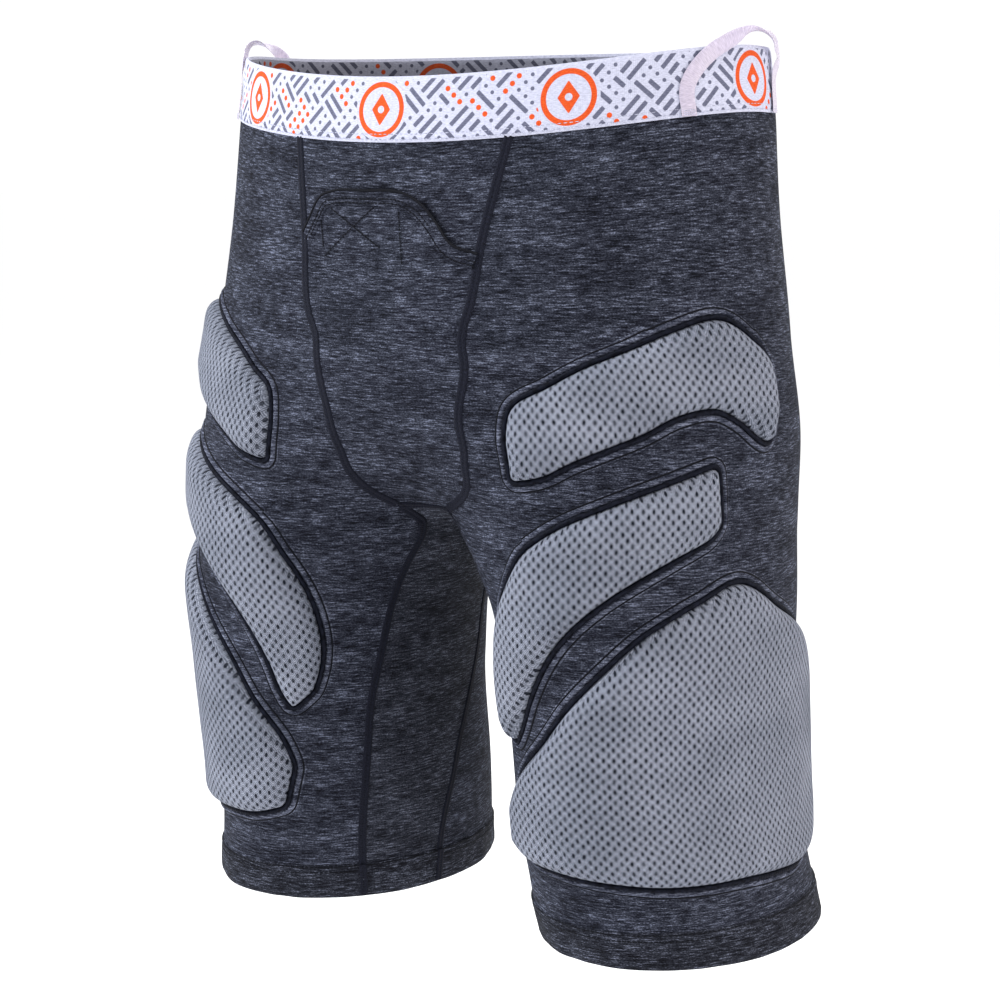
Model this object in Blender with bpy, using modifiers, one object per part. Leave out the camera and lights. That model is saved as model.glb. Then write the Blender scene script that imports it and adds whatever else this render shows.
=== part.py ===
"""Padded impact shorts, as worn: panels, waistband, hems, pads, piping and hanger loops.

Metres, +Z up. The origin is the centre of the waist opening, level with the waistband's top edge at
the front. The wearer faces -Y and the wearer's left is +X.

The garment is laid out on a skin, the outer face of the cloth. A place on one side of the skin is
(turn, z): turn is the angle in degrees round that side's hip and leg, 0 at the inner leg, 90 at the
front, 180 at the outer side and 270 at the back, and z is the height. Above the crotch the two sides
meet on the centre plane, below it each leg is a closed tube.
"""

import bmesh
import bpy
import math
import numpy as np
from mathutils import Matrix, Vector

# Heights of the garment's main lines
BAND_BOTTOM = -0.038
CLOSING_TOP = -0.150
CROTCH = -0.270
POUCH_BOTTOM = -0.2585
HEM_TOP = -0.503
HEM = -0.525

# Outline of the skin at a few heights: outer side x, front y, back y, and inner leg x
OUTLINE_Z = [0, -0.038, -0.090, -0.150, -0.200, -0.250, -0.300, -0.380, -0.460, -0.525]
OUTER_X = [0.178, 0.1825, 0.187, 0.1965, 0.202, 0.2005, 0.2005, 0.197, 0.198, 0.209]
FRONT_Y = [-0.0955, -0.1005, -0.107, -0.1105, -0.107, -0.1015, -0.099, -0.088, -0.0745, -0.061]
BACK_Y = [0.1305, 0.138, 0.1445, 0.1475, 0.143, 0.1365, 0.133, 0.1355, 0.149, 0.1625]
INNER_Z = [-0.270, -0.285, -0.300, -0.380, -0.460, -0.525]
INNER_X = [0, 0.010, 0.0185, 0.034, 0.0375, 0.043]
# The rim stands higher at the sides and the back than at the front, fading out below the band
SIDE_RISE = 0.0205
BACK_RISE = 0.025
RISE_BOTTOM = -0.150
POUCH_BULGE = 0.004
POUCH_HALF_WIDTH = 0.050
CLEFT_SPAN = 0.028

# The left leg is worn turned a little inward and the right leg outward, in degrees by height
LEG_TURN_Z = [-0.525, -0.475, -0.414, -0.370, -0.300]
LEG_TURN = [14.5, 13, 6.5, 2.5, 0]

# Cloth layers, measured outward from the skin
CLOTH = 0.0016
BAND_OUT = 0.0008
BAND_THICKNESS = 0.0026
HEM_OUT = 0.0006
HEM_THICKNESS = 0.0024
GAP = 0.0005
SEAM_WIDTH = 0.005
SEAM_THICKNESS = 0.0008
SEAM_OUT = 0.0014
# The same in degrees of turn, where a panel's edge is laid out by turn
SEAM_GAP_TURN = 0.45
LEG_GAP_TURN = 0.25
INSEAM_HALF_TURN = 1.5
# Steps down a body seam; the panel beside it takes every second one, so that both follow the same points
SEAM_ROWS = 16

# Pads: a crowned foam core, a mesh cover over it and a cord of piping round it
PAD_GAP = 0.0016
PAD_CROWN = 0.0088
PAD_EDGE = 0.0026
COVER_THICKNESS = 0.0010
COVER_GAP = 0.0006
PIPING_RADIUS = 0.0015
PIPING_REACH = 0.0026
PIPING_OUT = 0.0030

# Hinges
HIP_HINGE = Vector((0.105, 0.010, -0.190))
LOOP_FRONT_TURN = 152.5
LOOP_BACK_TURN = 187.5
# Centre line of a hanger loop by share of its length: turn, height, and distance out from where it is sewn
LOOP_SHARE = [0, 0.16, 0.33, 0.45, 0.55, 0.70, 0.80, 0.88, 1]
LOOP_TURN = [LOOP_FRONT_TURN, 152.5, 159, 167, 174, 187, 190, 188.5, LOOP_BACK_TURN]
LOOP_Z = [BAND_BOTTOM, -0.020, -0.002, 0.008, 0.013, 0.007, -0.005, -0.014, BAND_BOTTOM]
LOOP_OUT = [0, 0, 0.001, 0.002, 0.003, 0.004, 0.004, 0.001, 0]
TWIST_START = 0.40
TWIST_END = 0.75
RIBBON_WIDTH = 0.0095
RIBBON_THICKNESS = 0.0008
RIBBON_OUT = BAND_OUT + 0.0012

# Seam and edge lines, as turn by height
FRONT_SEAM_Z = [-0.2585, -0.250, -0.220, -0.200, -0.166, -0.141, -0.090, -0.038]
FRONT_SEAM = [38, 52, 75.5, 86.5, 102.5, 106.5, 110, 114]
FRONT_INSEAM_Z = [-0.525, -0.470, -0.420, -0.380, -0.350, -0.320, -0.280]
FRONT_INSEAM = [31, 31.8, 33.2, 33.5, 31.2, 29, 28]
BACK_INSEAM_Z = [-0.525, -0.490, -0.460, -0.425, -0.398, -0.367, -0.320, -0.280]
BACK_INSEAM = [-1, -3.5, -7.5, -12, -18, -23, -27, -30]

# Lower edge of the hip panels, as height by turn. The flex zone hangs from it and the leg starts below.
HIP_EDGE_TURN = [-40, -20, 0, 20, 40, 65, 90, 115, 140, 160, 180, 210, 240, 270, 300, 320, 340, 360, 380, 400]
HIP_EDGE = [-0.279, -0.283, -0.284, -0.281, -0.276, -0.256, -0.236, -0.222, -0.204, -0.201, -0.206,
            -0.210, -0.222, -0.240, -0.262, -0.279, -0.283, -0.284, -0.281, -0.276]
# Behind this turn a hip panel's lower edge rises to meet the centre back
HIP_SLANT_TURN = 320
HIP_BACK_TURN = 346.2
FLEX_DEPTH = 0.030
FLEX_GAP = 0.0012

# Top edge of the pouch, as height by place across it: -1 is the right seam, 1 the left seam
POUCH_TOP_ACROSS = [-1, -0.91, -0.75, -0.61, -0.24, 0.21, 0.355, 0.55, 0.69, 1]
POUCH_TOP = [-0.093, -0.0855, -0.0722, -0.0688, -0.0675, -0.0698, -0.075, -0.0866, -0.0962, -0.1035]

# Pads as rungs from one end to the other: (turn, z) of the upper edge, then of the lower edge
HIP_PAD = [
    ((98.5, -0.208), (91.5, -0.231)),
    ((107, -0.1885), (102, -0.227)),
    ((117, -0.1775), (112, -0.2185)),
    ((126.5, -0.166), (123.5, -0.2095)),
    ((136, -0.156), (133.5, -0.2015)),
    ((146, -0.1455), (143, -0.192)),
    ((157, -0.139), (153, -0.1882)),
    ((165, -0.1465), (160, -0.195)),
    ((172.3, -0.162), (166.5, -0.2055)),
    ((174, -0.190), (171, -0.2095)),
]
MID_PAD = [
    ((57.5, -0.380), (65, -0.392)),
    ((55.5, -0.362), (71, -0.379)),
    ((56, -0.344), (76.5, -0.361)),
    ((60, -0.324), (83.5, -0.342)),
    ((66.5, -0.307), (91.5, -0.3255)),
    ((75.5, -0.291), (102, -0.3095)),
    ((86.5, -0.273), (114, -0.295)),
    ((100, -0.2575), (126.5, -0.2825)),
    ((118.4, -0.2435), (139, -0.271)),
    ((137, -0.231), (148, -0.263)),
    ((151.5, -0.2215), (152, -0.255)),
]
THIGH_PAD = [
    ((63, -0.431), (65, -0.459)),
    ((70.5, -0.411), (79, -0.4655)),
    ((85, -0.387), (94, -0.467)),
    ((97.5, -0.362), (107, -0.4685)),
    ((111, -0.3395), (121, -0.470)),
    ((122.5, -0.322), (135, -0.472)),
    ((132, -0.3115), (147, -0.473)),
    ((144, -0.301), (158, -0.4735)),
    ((160, -0.291), (171, -0.474)),
    ((178, -0.3085), (186, -0.476)),
    ((197, -0.327), (202, -0.4775)),
    ((212, -0.360), (214, -0.469)),
    ((219, -0.398), (221, -0.448)),
]
# The tailbone pad is laid out across the centre back: half width by height
TAIL_PAD_Z = [-0.200, -0.192, -0.165, -0.130, -0.108, -0.100]
TAIL_PAD_HALF = [0.010, 0.019, 0.032, 0.040, 0.034, 0.022]

COLLECTION = "padded_impact_shorts"
MATERIALS = {
    "waistband_jacquard": ((0.46, 0.48, 0.68), 0.75),
    "waistband_backing": ((0.40, 0.41, 0.50), 0.85),
    "shell_knit": ((0.042, 0.046, 0.066), 0.80),
    "gusset_knit": ((0.026, 0.029, 0.041), 0.85),
    "flex_knit": ((0.045, 0.049, 0.068), 0.85),
    "seam_thread": ((0.018, 0.020, 0.032), 0.70),
    "pocket_lining": ((0.030, 0.032, 0.042), 0.90),
    "pad_foam": ((0.25, 0.27, 0.31), 0.90),
    "pad_mesh": ((0.19, 0.205, 0.25), 0.80),
    "pad_piping": ((0.010, 0.011, 0.016), 0.60),
    "hem_knit": ((0.036, 0.040, 0.058), 0.80),
    "grip_silicone": ((0.20, 0.21, 0.23), 0.45),
    "loop_ribbon": ((0.76, 0.70, 0.82), 0.35),
}


def through(places, values, at):
    """Smooth curve through the given values; places must rise."""
    x = np.asarray(places, float)
    y = np.asarray(values, float)
    at = np.clip(np.asarray(at, float), x[0], x[-1])
    slope = np.gradient(y, x)
    k = np.clip(np.searchsorted(x, at, side="right") - 1, 0, len(x) - 2)
    width = x[k + 1] - x[k]
    t = (at - x[k]) / width
    start = (1 + 2 * t) * (1 - t) ** 2 * y[k] + t * (1 - t) ** 2 * width * slope[k]
    end = t * t * (3 - 2 * t) * y[k + 1] + t * t * (t - 1) * width * slope[k + 1]
    return start + end


def by_height(heights, values, z):
    """Smooth curve through values given by height, in either order."""
    if heights[0] > heights[-1]:
        heights = heights[::-1]
        values = values[::-1]
    return through(heights, values, z)


def closing(z):
    """Degrees by which a side's ring has closed behind the centre plane: 0 at the hip, 90 at the crotch."""
    share = np.clip((CLOSING_TOP - z) / (CLOSING_TOP - CROTCH), 0, 1)
    return 90 * share ** 1.6


def saddle(turn):
    """Height of the crotch line, on the centre plane, at turns from -90 to 90."""
    share = np.clip((90 - np.abs(turn)) / 90, 0, 1) ** (1 / 1.6)
    return CLOSING_TOP - share * (CLOSING_TOP - CROTCH)


def saddle_turn(z):
    """Turn at which the crotch line reaches a height."""
    return 90 - closing(z)


def skin(turn, z):
    """Points of the left side's skin."""
    turn = np.asarray(turn, float)
    z = np.asarray(z, float)
    outer = by_height(OUTLINE_Z, OUTER_X, z)
    front = by_height(OUTLINE_Z, FRONT_Y, z)
    back = by_height(OUTLINE_Z, BACK_Y, z)
    inner = np.where(z > CROTCH, 0, by_height(INNER_Z, INNER_X, z))
    lap = np.sin(np.radians(closing(z)))
    radius = (outer - inner) / (1 + lap)
    angle = np.radians(turn)
    x = inner + radius * lap - radius * np.cos(angle)
    span = CLEFT_SPAN * np.sqrt(np.clip((z - CROTCH) / 0.035, 0, 1))
    level = np.cos(angle) - (np.hypot(x, span) - x) / radius * (1 - x / outer) ** 2
    ahead = np.where(np.mod(turn + 180, 360) > 180, 1.0, -1.0)
    y = (front + back) / 2 - (back - front) / 2 * ahead * np.sqrt(np.clip(1 - level ** 2, 0, 1))
    rise = np.sin(math.pi * np.clip((-0.085 - z) / 0.183, 0, 1))
    y = y - POUCH_BULGE * rise * (ahead > 0) * np.exp(-((x / POUCH_HALF_WIDTH) ** 2))
    rise = SIDE_RISE * np.cos(angle) ** 2 + BACK_RISE * (ahead < 0) * np.sin(angle) ** 2
    lift = rise * np.clip((z - RISE_BOTTOM) / (BAND_BOTTOM - RISE_BOTTOM), 0, 1)
    return np.stack([x, y, z + lift], -1)


def on_side(side, turn, z, out=0.0):
    """Points a distance out from the skin of one side: 1 is the wearer's left, -1 the right."""
    turn, z = np.broadcast_arrays(np.asarray(turn, float), np.asarray(z, float))
    step = 1e-4
    across = skin(turn + 100 * step, z) - skin(turn - 100 * step, z)
    down = skin(turn, z - step) - skin(turn, z + step)
    normal = np.cross(down, across)
    normal /= np.linalg.norm(normal, axis=-1, keepdims=True)
    points = skin(turn, z) + np.asarray(out, float)[..., None] * normal
    return points * np.array([side, 1, 1])


def worn(side, turn, z):
    """Turn of a leg feature after the leg's worn rotation."""
    return turn - side * through(LEG_TURN_Z, LEG_TURN, z)


def cloth_material(name):
    material = bpy.data.materials.get(name)
    if material:
        return material
    colour, roughness = MATERIALS[name]
    material = bpy.data.materials.new(name)
    material.use_nodes = True
    shader = material.node_tree.nodes["Principled BSDF"]
    shader.inputs["Base Color"].default_value = (*colour, 1)
    shader.inputs["Roughness"].default_value = roughness
    shader.inputs["Metallic"].default_value = 0
    material.diffuse_color = (*colour, 1)
    return material


def add_object(name, data, material, joint):
    """Links a new object to the collection, under its body's empty, whose place is its joint."""
    data.materials.append(cloth_material(material))
    thing = bpy.data.objects.new(name, data)
    bpy.data.collections[COLLECTION].objects.link(thing)
    data.transform(Matrix.Translation(-joint.location))
    thing.parent = joint
    return thing


def add_cloth(name, place, columns, rows, thickness, material, joint, offset=-1, closed=False, crown=None):
    """A sheet of cloth: a grid laid by place(across, down), given its thickness by Solidify."""
    bm = bmesh.new()
    bmesh.ops.create_grid(bm, x_segments=columns, y_segments=rows, size=0.5)
    bm.verts.ensure_lookup_table()
    across = np.array([v.co.x + 0.5 for v in bm.verts])
    down = np.array([0.5 - v.co.y for v in bm.verts])
    points = place(across, down)
    for vert, point in zip(bm.verts, points):
        vert.co = point
    weights = None if crown is None else crown(across, down)
    if closed:
        bmesh.ops.remove_doubles(bm, verts=bm.verts, dist=1e-5)
    mesh = bpy.data.meshes.new(name)
    bm.to_mesh(mesh)
    bm.free()
    mesh.shade_smooth()
    mesh.set_sharp_from_angle(angle=math.radians(40))
    thing = add_object(name, mesh, material, joint)
    solid = thing.modifiers.new("thickness", "SOLIDIFY")
    solid.thickness = thickness
    solid.offset = offset
    if weights is not None:
        group = thing.vertex_groups.new(name="crown")
        for index, weight in enumerate(weights):
            group.add([index], float(weight), "REPLACE")
        solid.vertex_group = "crown"
        solid.thickness_vertex_group = PAD_EDGE / PAD_CROWN
    return thing


def facing(side, across):
    """Runs a grid the other way on the right side, so that its faces still point outward."""
    return across if side > 0 else 1 - across


def patch(side, top, bottom, left, right, out=0.0):
    """place() for a panel bounded by four curves of (turn, z), blended between them."""

    def place(across, down):
        a = facing(side, across)[:, None]
        b = down[:, None]
        edges = (1 - b) * top(a[:, 0]) + b * bottom(a[:, 0]) + (1 - a) * left(b[:, 0]) + a * right(b[:, 0])
        zero = np.zeros(1)
        one = np.ones(1)
        corners = (1 - b) * ((1 - a) * top(zero) + a * top(one)) + b * ((1 - a) * bottom(zero) + a * bottom(one))
        spot = edges - corners
        return on_side(side, spot[:, 0], spot[:, 1], np.full(len(a), out))

    return place


def pair(turn, z):
    turn, z = np.broadcast_arrays(np.asarray(turn, float), np.asarray(z, float))
    return np.stack([turn, z], -1)


def hip_edge(turn):
    return through(HIP_EDGE_TURN, HIP_EDGE, turn)


def seam_height(share):
    """Height along a body seam, from the band to the crotch: steps shorten towards the crotch."""
    return BAND_BOTTOM - GAP + (POUCH_BOTTOM - BAND_BOTTOM + GAP) * (1 - (1 - share) ** 1.5)


def front_seam(z):
    return by_height(FRONT_SEAM_Z, FRONT_SEAM, z)


def pouch_top(across):
    return through(POUCH_TOP_ACROSS, POUCH_TOP, across)


def add_full_ring(name, top, bottom, out, thickness, columns, rows, material, joint):
    """A closed band round the waist, through both sides."""

    def place(across, down):
        turn = 90 + 360 * across
        left = turn <= 270
        turn = np.where(left, turn, 540 - turn)
        z = top + (bottom - top) * down
        out_by = np.full(len(z), out)
        return np.where(left[:, None], on_side(1, turn, z, out_by), on_side(-1, turn, z, out_by))

    return add_cloth(name, place, columns, rows, thickness, material, joint, closed=True)


def add_waistband(joint):
    add_full_ring("waistband", 0, BAND_BOTTOM, BAND_OUT, BAND_THICKNESS, 48, 1, "waistband_jacquard", joint)
    inside = BAND_OUT - BAND_THICKNESS - 2 * GAP
    add_full_ring("waistband_backing", -0.003, -0.035, inside, 0.001, 48, 1, "waistband_backing", joint)


def centre_place(edge, top, bottom, out):
    """place() for a piece across the centre front, between edges at share edge of the way to each seam."""

    def place(across, down):
        a = (2 * across - 1) * edge
        upper = top(a)
        z = upper + (bottom(a) - upper) * (1 - (1 - down) ** 1.3)
        middle = 90 - closing(z)
        turn = middle + (front_seam(z) - middle) * np.abs(a)
        out_by = np.full(len(z), out)
        return np.where(a[:, None] >= 0, on_side(1, turn, z, out_by), on_side(-1, turn, z, out_by))

    return place


def add_front(joint):
    """Front top panel, pouch, its pocket lining and the binding along the pocket mouth."""

    def level(z):
        return lambda a: np.full(len(a), z)

    top = centre_place(0.96, level(BAND_BOTTOM - GAP), lambda a: pouch_top(a) + GAP, 0)
    add_cloth("front_top_panel", top, 12, 2, CLOTH, "shell_knit", joint)
    pouch = centre_place(0.95, lambda a: pouch_top(a) - GAP, level(POUCH_BOTTOM), 0)
    add_cloth("pouch_panel", pouch, 12, 12, CLOTH, "shell_knit", joint)
    lining = centre_place(0.86, lambda a: pouch_top(a) - 0.012, level(-0.225), -CLOTH - 0.0030)
    add_cloth("cup_pocket_lining", lining, 8, 5, 0.001, "pocket_lining", joint)
    binding = centre_place(0.93, lambda a: pouch_top(a) + 0.0005, lambda a: pouch_top(a) - 0.0075, 0.0012)
    add_cloth("pouch_edge_binding", binding, 12, 1, 0.0008, "seam_thread", joint, offset=1)


def add_hip_panel(side, name, joint):
    """The panel from the front seam round the hip to the centre back."""
    rows = SEAM_ROWS // 2 + 1
    split = (rows - 1) / rows
    low_turn = FRONT_SEAM[0]
    high_turn = FRONT_SEAM[-1]
    slant_top = hip_edge(HIP_SLANT_TURN)

    def left(b):
        low = hip_edge(low_turn)
        z = seam_height(np.clip(b / split, 0, 1))
        z = np.where(b <= split, z, POUCH_BOTTOM + (low - POUCH_BOTTOM) * (b - split) / (1 - split))
        return pair(front_seam(z) + SEAM_GAP_TURN, z)

    def right(b):
        z = seam_height(b)
        return pair(270 + closing(z) - SEAM_GAP_TURN, z)

    def top(a):
        width = 270 - high_turn - 2 * SEAM_GAP_TURN
        return pair(high_turn + SEAM_GAP_TURN + width * a, BAND_BOTTOM - GAP)

    def bottom(a):
        turn = low_turn + SEAM_GAP_TURN + (HIP_BACK_TURN - low_turn - SEAM_GAP_TURN) * a
        share = (turn - HIP_SLANT_TURN) / (HIP_BACK_TURN - HIP_SLANT_TURN)
        slant = slant_top + (POUCH_BOTTOM - slant_top) * share
        return pair(turn, np.where(turn > HIP_SLANT_TURN, slant, hip_edge(turn)))

    place = patch(side, top, bottom, left, right)
    add_cloth(name, place, 30, rows, CLOTH, "shell_knit", joint)


def add_front_seam(side, name, joint):
    """A raised flatlock seam along the front edge of a hip panel."""

    def place(across, down):
        z = seam_height(down)
        line = front_seam(z)
        per_degree = np.linalg.norm(on_side(side, line + 1, z) - on_side(side, line, z), axis=1)
        turn = line + (facing(side, across) - 0.5) * SEAM_WIDTH / per_degree
        return on_side(side, turn, z, np.full(len(z), SEAM_OUT))

    add_cloth(name, place, 2, SEAM_ROWS, SEAM_THICKNESS, "seam_thread", joint, offset=1)


def add_centre_back_seam(joint):
    def place(across, down):
        z = seam_height(down * 0.97)
        middle = 270 + closing(z)
        turn = middle - np.abs(across - 0.5) * 2.0
        left = across < 0.5
        out = np.full(len(z), SEAM_OUT)
        return np.where(left[:, None], on_side(1, turn, z, out), on_side(-1, turn, z, out))

    add_cloth("centre_back_seam", place, 2, SEAM_ROWS, SEAM_THICKNESS, "seam_thread", joint, offset=1)


def add_crotch_gusset(joint):
    """The saddle between the legs: half of it up to the centre plane, then mirrored."""
    front_end = FRONT_SEAM[0] - 0.4
    back_end = -36
    corner = 13.5

    def upper(turn):
        back = POUCH_BOTTOM - 0.001 - 0.0205 * (-turn - corner) / (40 - corner)
        ends = np.where(turn > 0, POUCH_BOTTOM - 0.001, back)
        return np.where(np.abs(turn) > corner, ends, np.minimum(saddle(turn), POUCH_BOTTOM - 0.001))

    def place(across, down):
        marks = [0, 2 / 12, 4 / 12, 5 / 12, 6 / 12, 7 / 12, 8 / 12, 10 / 12, 1]
        edge = float(np.abs(saddle_turn(POUCH_BOTTOM - 0.001)))
        turns = [front_end, 26, edge, edge / 2, 0, -edge / 2, -edge, -24, back_end]
        turn = np.interp(across, marks, turns)
        top = upper(turn)
        inside = np.abs(turn) <= edge + 1e-9
        top = np.where(inside, saddle(turn), top)
        z = top + (hip_edge(turn) - top) * down
        points = on_side(1, turn, z)
        points[:, 0] = np.where(inside & (down < 1e-6), 0, points[:, 0])
        return points

    thing = add_cloth("crotch_gusset", place, 12, 2, CLOTH, "gusset_knit", joint)
    mirror = thing.modifiers.new("other half", "MIRROR")
    mirror.merge_threshold = 0.0001
    thing.modifiers.move(1, 0)


def add_tube_piece(side, name, top, bottom, out, thickness, columns, rows, material, joint):
    """A closed band round one leg, between two edges given as height by turn."""

    def place(across, down):
        turn = 360 * facing(side, across)
        upper = top(turn)
        z = upper + (bottom(turn) - upper) * down
        return on_side(side, turn, z, np.full(len(z), out))

    return add_cloth(name, place, columns, rows, thickness, material, joint, closed=True)


def flex_bottom(turn):
    return hip_edge(turn) - FLEX_DEPTH


def add_flex_zone(side, name, joint):
    def top(turn):
        return hip_edge(turn) - FLEX_GAP

    def bottom(turn):
        return flex_bottom(turn) + FLEX_GAP

    add_tube_piece(side, name, top, bottom, 0, CLOTH, 36, 1, "flex_knit", joint)


def front_inseam(side, z):
    return worn(side, by_height(FRONT_INSEAM_Z, FRONT_INSEAM, z), z)


def back_inseam(side, z):
    return worn(side, by_height(BACK_INSEAM_Z, BACK_INSEAM, z), z)


def leg_panel(side, start, finish, out=0.0):
    """place() for a leg panel between two seam lines, from the flex zone to the hem."""
    low = HEM_TOP + GAP

    def place(across, down):
        a = facing(side, across)
        bottom_turn = start(low) + (finish(low) - start(low)) * a
        turn = bottom_turn
        for _ in range(8):
            high = flex_bottom(np.mod(turn, 360)) - 0.0002
            z = high + (low - high) * down
            turn = start(z) + (finish(z) - start(z)) * a
        return on_side(side, turn, z, np.full(len(z), out))

    return place


def add_leg_panels(side, prefix, joint):
    gap = LEG_GAP_TURN
    outer = leg_panel(side, lambda z: front_inseam(side, z) + gap, lambda z: 360 + back_inseam(side, z) - gap)
    add_cloth(f"{prefix}_thigh_panel", outer, 34, 6, CLOTH, "shell_knit", joint)
    inner = leg_panel(side, lambda z: back_inseam(side, z) + gap, lambda z: front_inseam(side, z) - gap)
    add_cloth(f"{prefix}_inner_thigh_gusset", inner, 6, 6, CLOTH, "gusset_knit", joint)
    for name, line in (("front", front_inseam), ("back", back_inseam)):
        half = INSEAM_HALF_TURN
        seam = leg_panel(side, lambda z: line(side, z) - half, lambda z: line(side, z) + half, SEAM_OUT)
        thing_name = f"{prefix}_{name}_inseam"
        add_cloth(thing_name, seam, 1, 8, SEAM_THICKNESS, "seam_thread", joint, offset=1)


def add_hem(side, prefix, joint):
    """The turned-up hem, an upright band whose lower rim is level, and the gripper strip inside it."""
    middle = (HEM_TOP + HEM) / 2

    def add_ring(name, top, bottom, out, thickness, material):
        def place(across, down):
            turn = 360 * facing(side, across)
            points = on_side(side, turn, middle, np.full(len(turn), out))
            points[:, 2] = top + (bottom - top) * down
            return points

        add_cloth(name, place, 36, 1, thickness, material, joint, closed=True)

    add_ring(f"{prefix}_hem_band", HEM_TOP, HEM, HEM_OUT, HEM_THICKNESS, "hem_knit")
    inside = HEM_OUT - HEM_THICKNESS - 2 * GAP
    add_ring(f"{prefix}_hem_gripper", HEM_TOP - 0.004, HEM + 0.003, inside, 0.0008, "grip_silicone")


def rung_place(side, rungs):
    """Skin place of a pad's (along, across), along from its first rung to its last."""
    marks = np.linspace(0, 1, len(rungs))
    upper = np.array([rung[0] for rung in rungs], float)
    lower = np.array([rung[1] for rung in rungs], float)

    def spot(along, across):
        top = [through(marks, upper[:, k], along) for k in (0, 1)]
        bottom = [through(marks, lower[:, k], along) for k in (0, 1)]
        turn = top[0] + (bottom[0] - top[0]) * across
        z = top[1] + (bottom[1] - top[1]) * across
        return worn(side, turn, z), z

    def place(along, across, out):
        turn, z = spot(along, across)
        return on_side(side, turn, z, out)

    return place


def tail_place(along, across, out):
    """Skin place on the tailbone pad: along runs down it, across from the wearer's left to the right."""
    z = TAIL_PAD_Z[-1] + (TAIL_PAD_Z[0] - TAIL_PAD_Z[-1]) * along
    offset = (0.5 - across) * 2 * through(TAIL_PAD_Z, TAIL_PAD_HALF, z)
    per_degree = np.linalg.norm(on_side(1, 265 + closing(z), z) - on_side(1, 266 + closing(z), z), axis=-1)
    turn = 270 + closing(z) - np.abs(offset) / per_degree
    left = (offset >= 0)[:, None]
    over_seam = out + SEAM_OUT + SEAM_THICKNESS
    return np.where(left, on_side(1, turn, z, over_seam), on_side(-1, turn, z, over_seam))


def crown(along, across):
    """Share of the pad's full height: low at the rim, level in the middle."""
    rim = 4 * across * (1 - across)
    end = np.clip(np.minimum(along, 1 - along) / 0.16, 0, 1)
    return np.clip(1 - (1 - rim) ** 3, 0, 1) * np.sin(end * math.pi / 2) ** 0.8


def add_pad(name, place, flip, columns, rows, joint):
    """Foam core, mesh cover and piping of one pad."""

    def run(across):
        return 1 - across if flip else across

    def core(across, down):
        return place(run(across), down, np.full(len(down), PAD_GAP))

    def shell(across, down):
        height = PAD_EDGE + (PAD_CROWN - PAD_EDGE) * crown(across, down)
        return place(run(across), down, PAD_GAP + height + COVER_GAP)

    add_cloth(f"{name}_foam", core, columns, rows, PAD_CROWN, "pad_foam", joint, offset=1, crown=crown)
    add_cloth(f"{name}_mesh", shell, columns, rows, COVER_THICKNESS, "pad_mesh", joint, offset=1)
    add_piping(f"{name}_piping", place, columns + 1, rows + 1, joint)


def rim_points(place, count_along, count_end):
    """Points round a pad's rim, and the outward direction of the skin at each."""
    along = np.linspace(0, 1, count_along)
    end = np.linspace(0, 1, count_end)[1:-1]
    one = np.ones(len(end))
    path = [
        (along, np.zeros(count_along)),
        (one, end),
        (along[::-1], np.ones(count_along)),
        (0 * one, end[::-1]),
    ]
    a = np.concatenate([p[0] for p in path])
    b = np.concatenate([p[1] for p in path])
    low = place(a, b, np.zeros(len(a)))
    high = place(a, b, np.full(len(a), PIPING_OUT))
    return low, high


def rounded(points, times):
    """Softens the corners of a closed line of points."""
    for _ in range(times):
        points = (np.roll(points, 1, axis=0) + 2 * points + np.roll(points, -1, axis=0)) / 4
    return points


def add_piping(name, place, count_along, count_end, joint):
    low, high = rim_points(place, count_along, count_end)
    normal = (high - low) / PIPING_OUT
    tangent = np.roll(low, -1, axis=0) - np.roll(low, 1, axis=0)
    aside = np.cross(tangent, normal)
    aside /= np.linalg.norm(aside, axis=1, keepdims=True)
    centre = low.mean(axis=0)
    if np.sum(aside * (low - centre)) < 0:
        aside = -aside
    points = high + aside * PIPING_REACH
    curve = bpy.data.curves.new(name, "CURVE")
    curve.dimensions = "3D"
    curve.bevel_depth = PIPING_RADIUS
    curve.bevel_resolution = 1
    curve.use_fill_caps = True
    spline = curve.splines.new("POLY")
    spline.points.add(len(points) - 1)
    for knot, point in zip(spline.points, points):
        knot.co = (*point, 1)
    spline.use_cyclic_u = True
    add_object(name, curve, "pad_piping", joint)


def add_side_pad(side, name, rungs, columns, rows, joint):
    place = rung_place(side, rungs)
    add_pad(name, place, side < 0, columns, rows, joint)


def loop_line(side, count):
    """Centre line of a hanger loop from its front end over to its back end, and the band's outward direction."""
    share = np.linspace(0, 1, count)
    turn, z, aside = (through(LOOP_SHARE, values, share) for values in (LOOP_TURN, LOOP_Z, LOOP_OUT))
    near = on_side(side, turn, z, np.zeros(count))
    far = on_side(side, turn, z, np.full(count, 0.001))
    outward = (far - near) / 0.001
    return share, near + outward * (RIBBON_OUT + aside)[:, None], outward


def add_loop(side, name, joint):
    """A satin ribbon sewn at both ends below the band, arching over the rim with a half twist."""
    share, points, outward = loop_line(side, 25)
    path = np.gradient(points, axis=0)
    path /= np.linalg.norm(path, axis=1, keepdims=True)
    flat = np.cross(outward, path)
    flat /= np.linalg.norm(flat, axis=1, keepdims=True)
    face = np.cross(path, flat)
    turned = np.clip((share - TWIST_START) / (TWIST_END - TWIST_START), 0, 1)
    twist = math.pi * (1 - np.cos(math.pi * turned)) / 2
    wide = flat * np.cos(twist)[:, None] + face * np.sin(twist)[:, None]

    def place(across, down):
        index = np.rint((1 - down) * (len(share) - 1)).astype(int)
        return points[index] + wide[index] * ((across - 0.5) * RIBBON_WIDTH)[:, None]

    add_cloth(name, place, 1, len(share) - 1, RIBBON_THICKNESS, "loop_ribbon", joint, offset=0)


def add_joint(name, location):
    joint = bpy.data.objects.new(name, None)
    joint.empty_display_size = 0.03
    joint.location = location
    bpy.data.collections[COLLECTION].objects.link(joint)
    return joint


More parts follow.
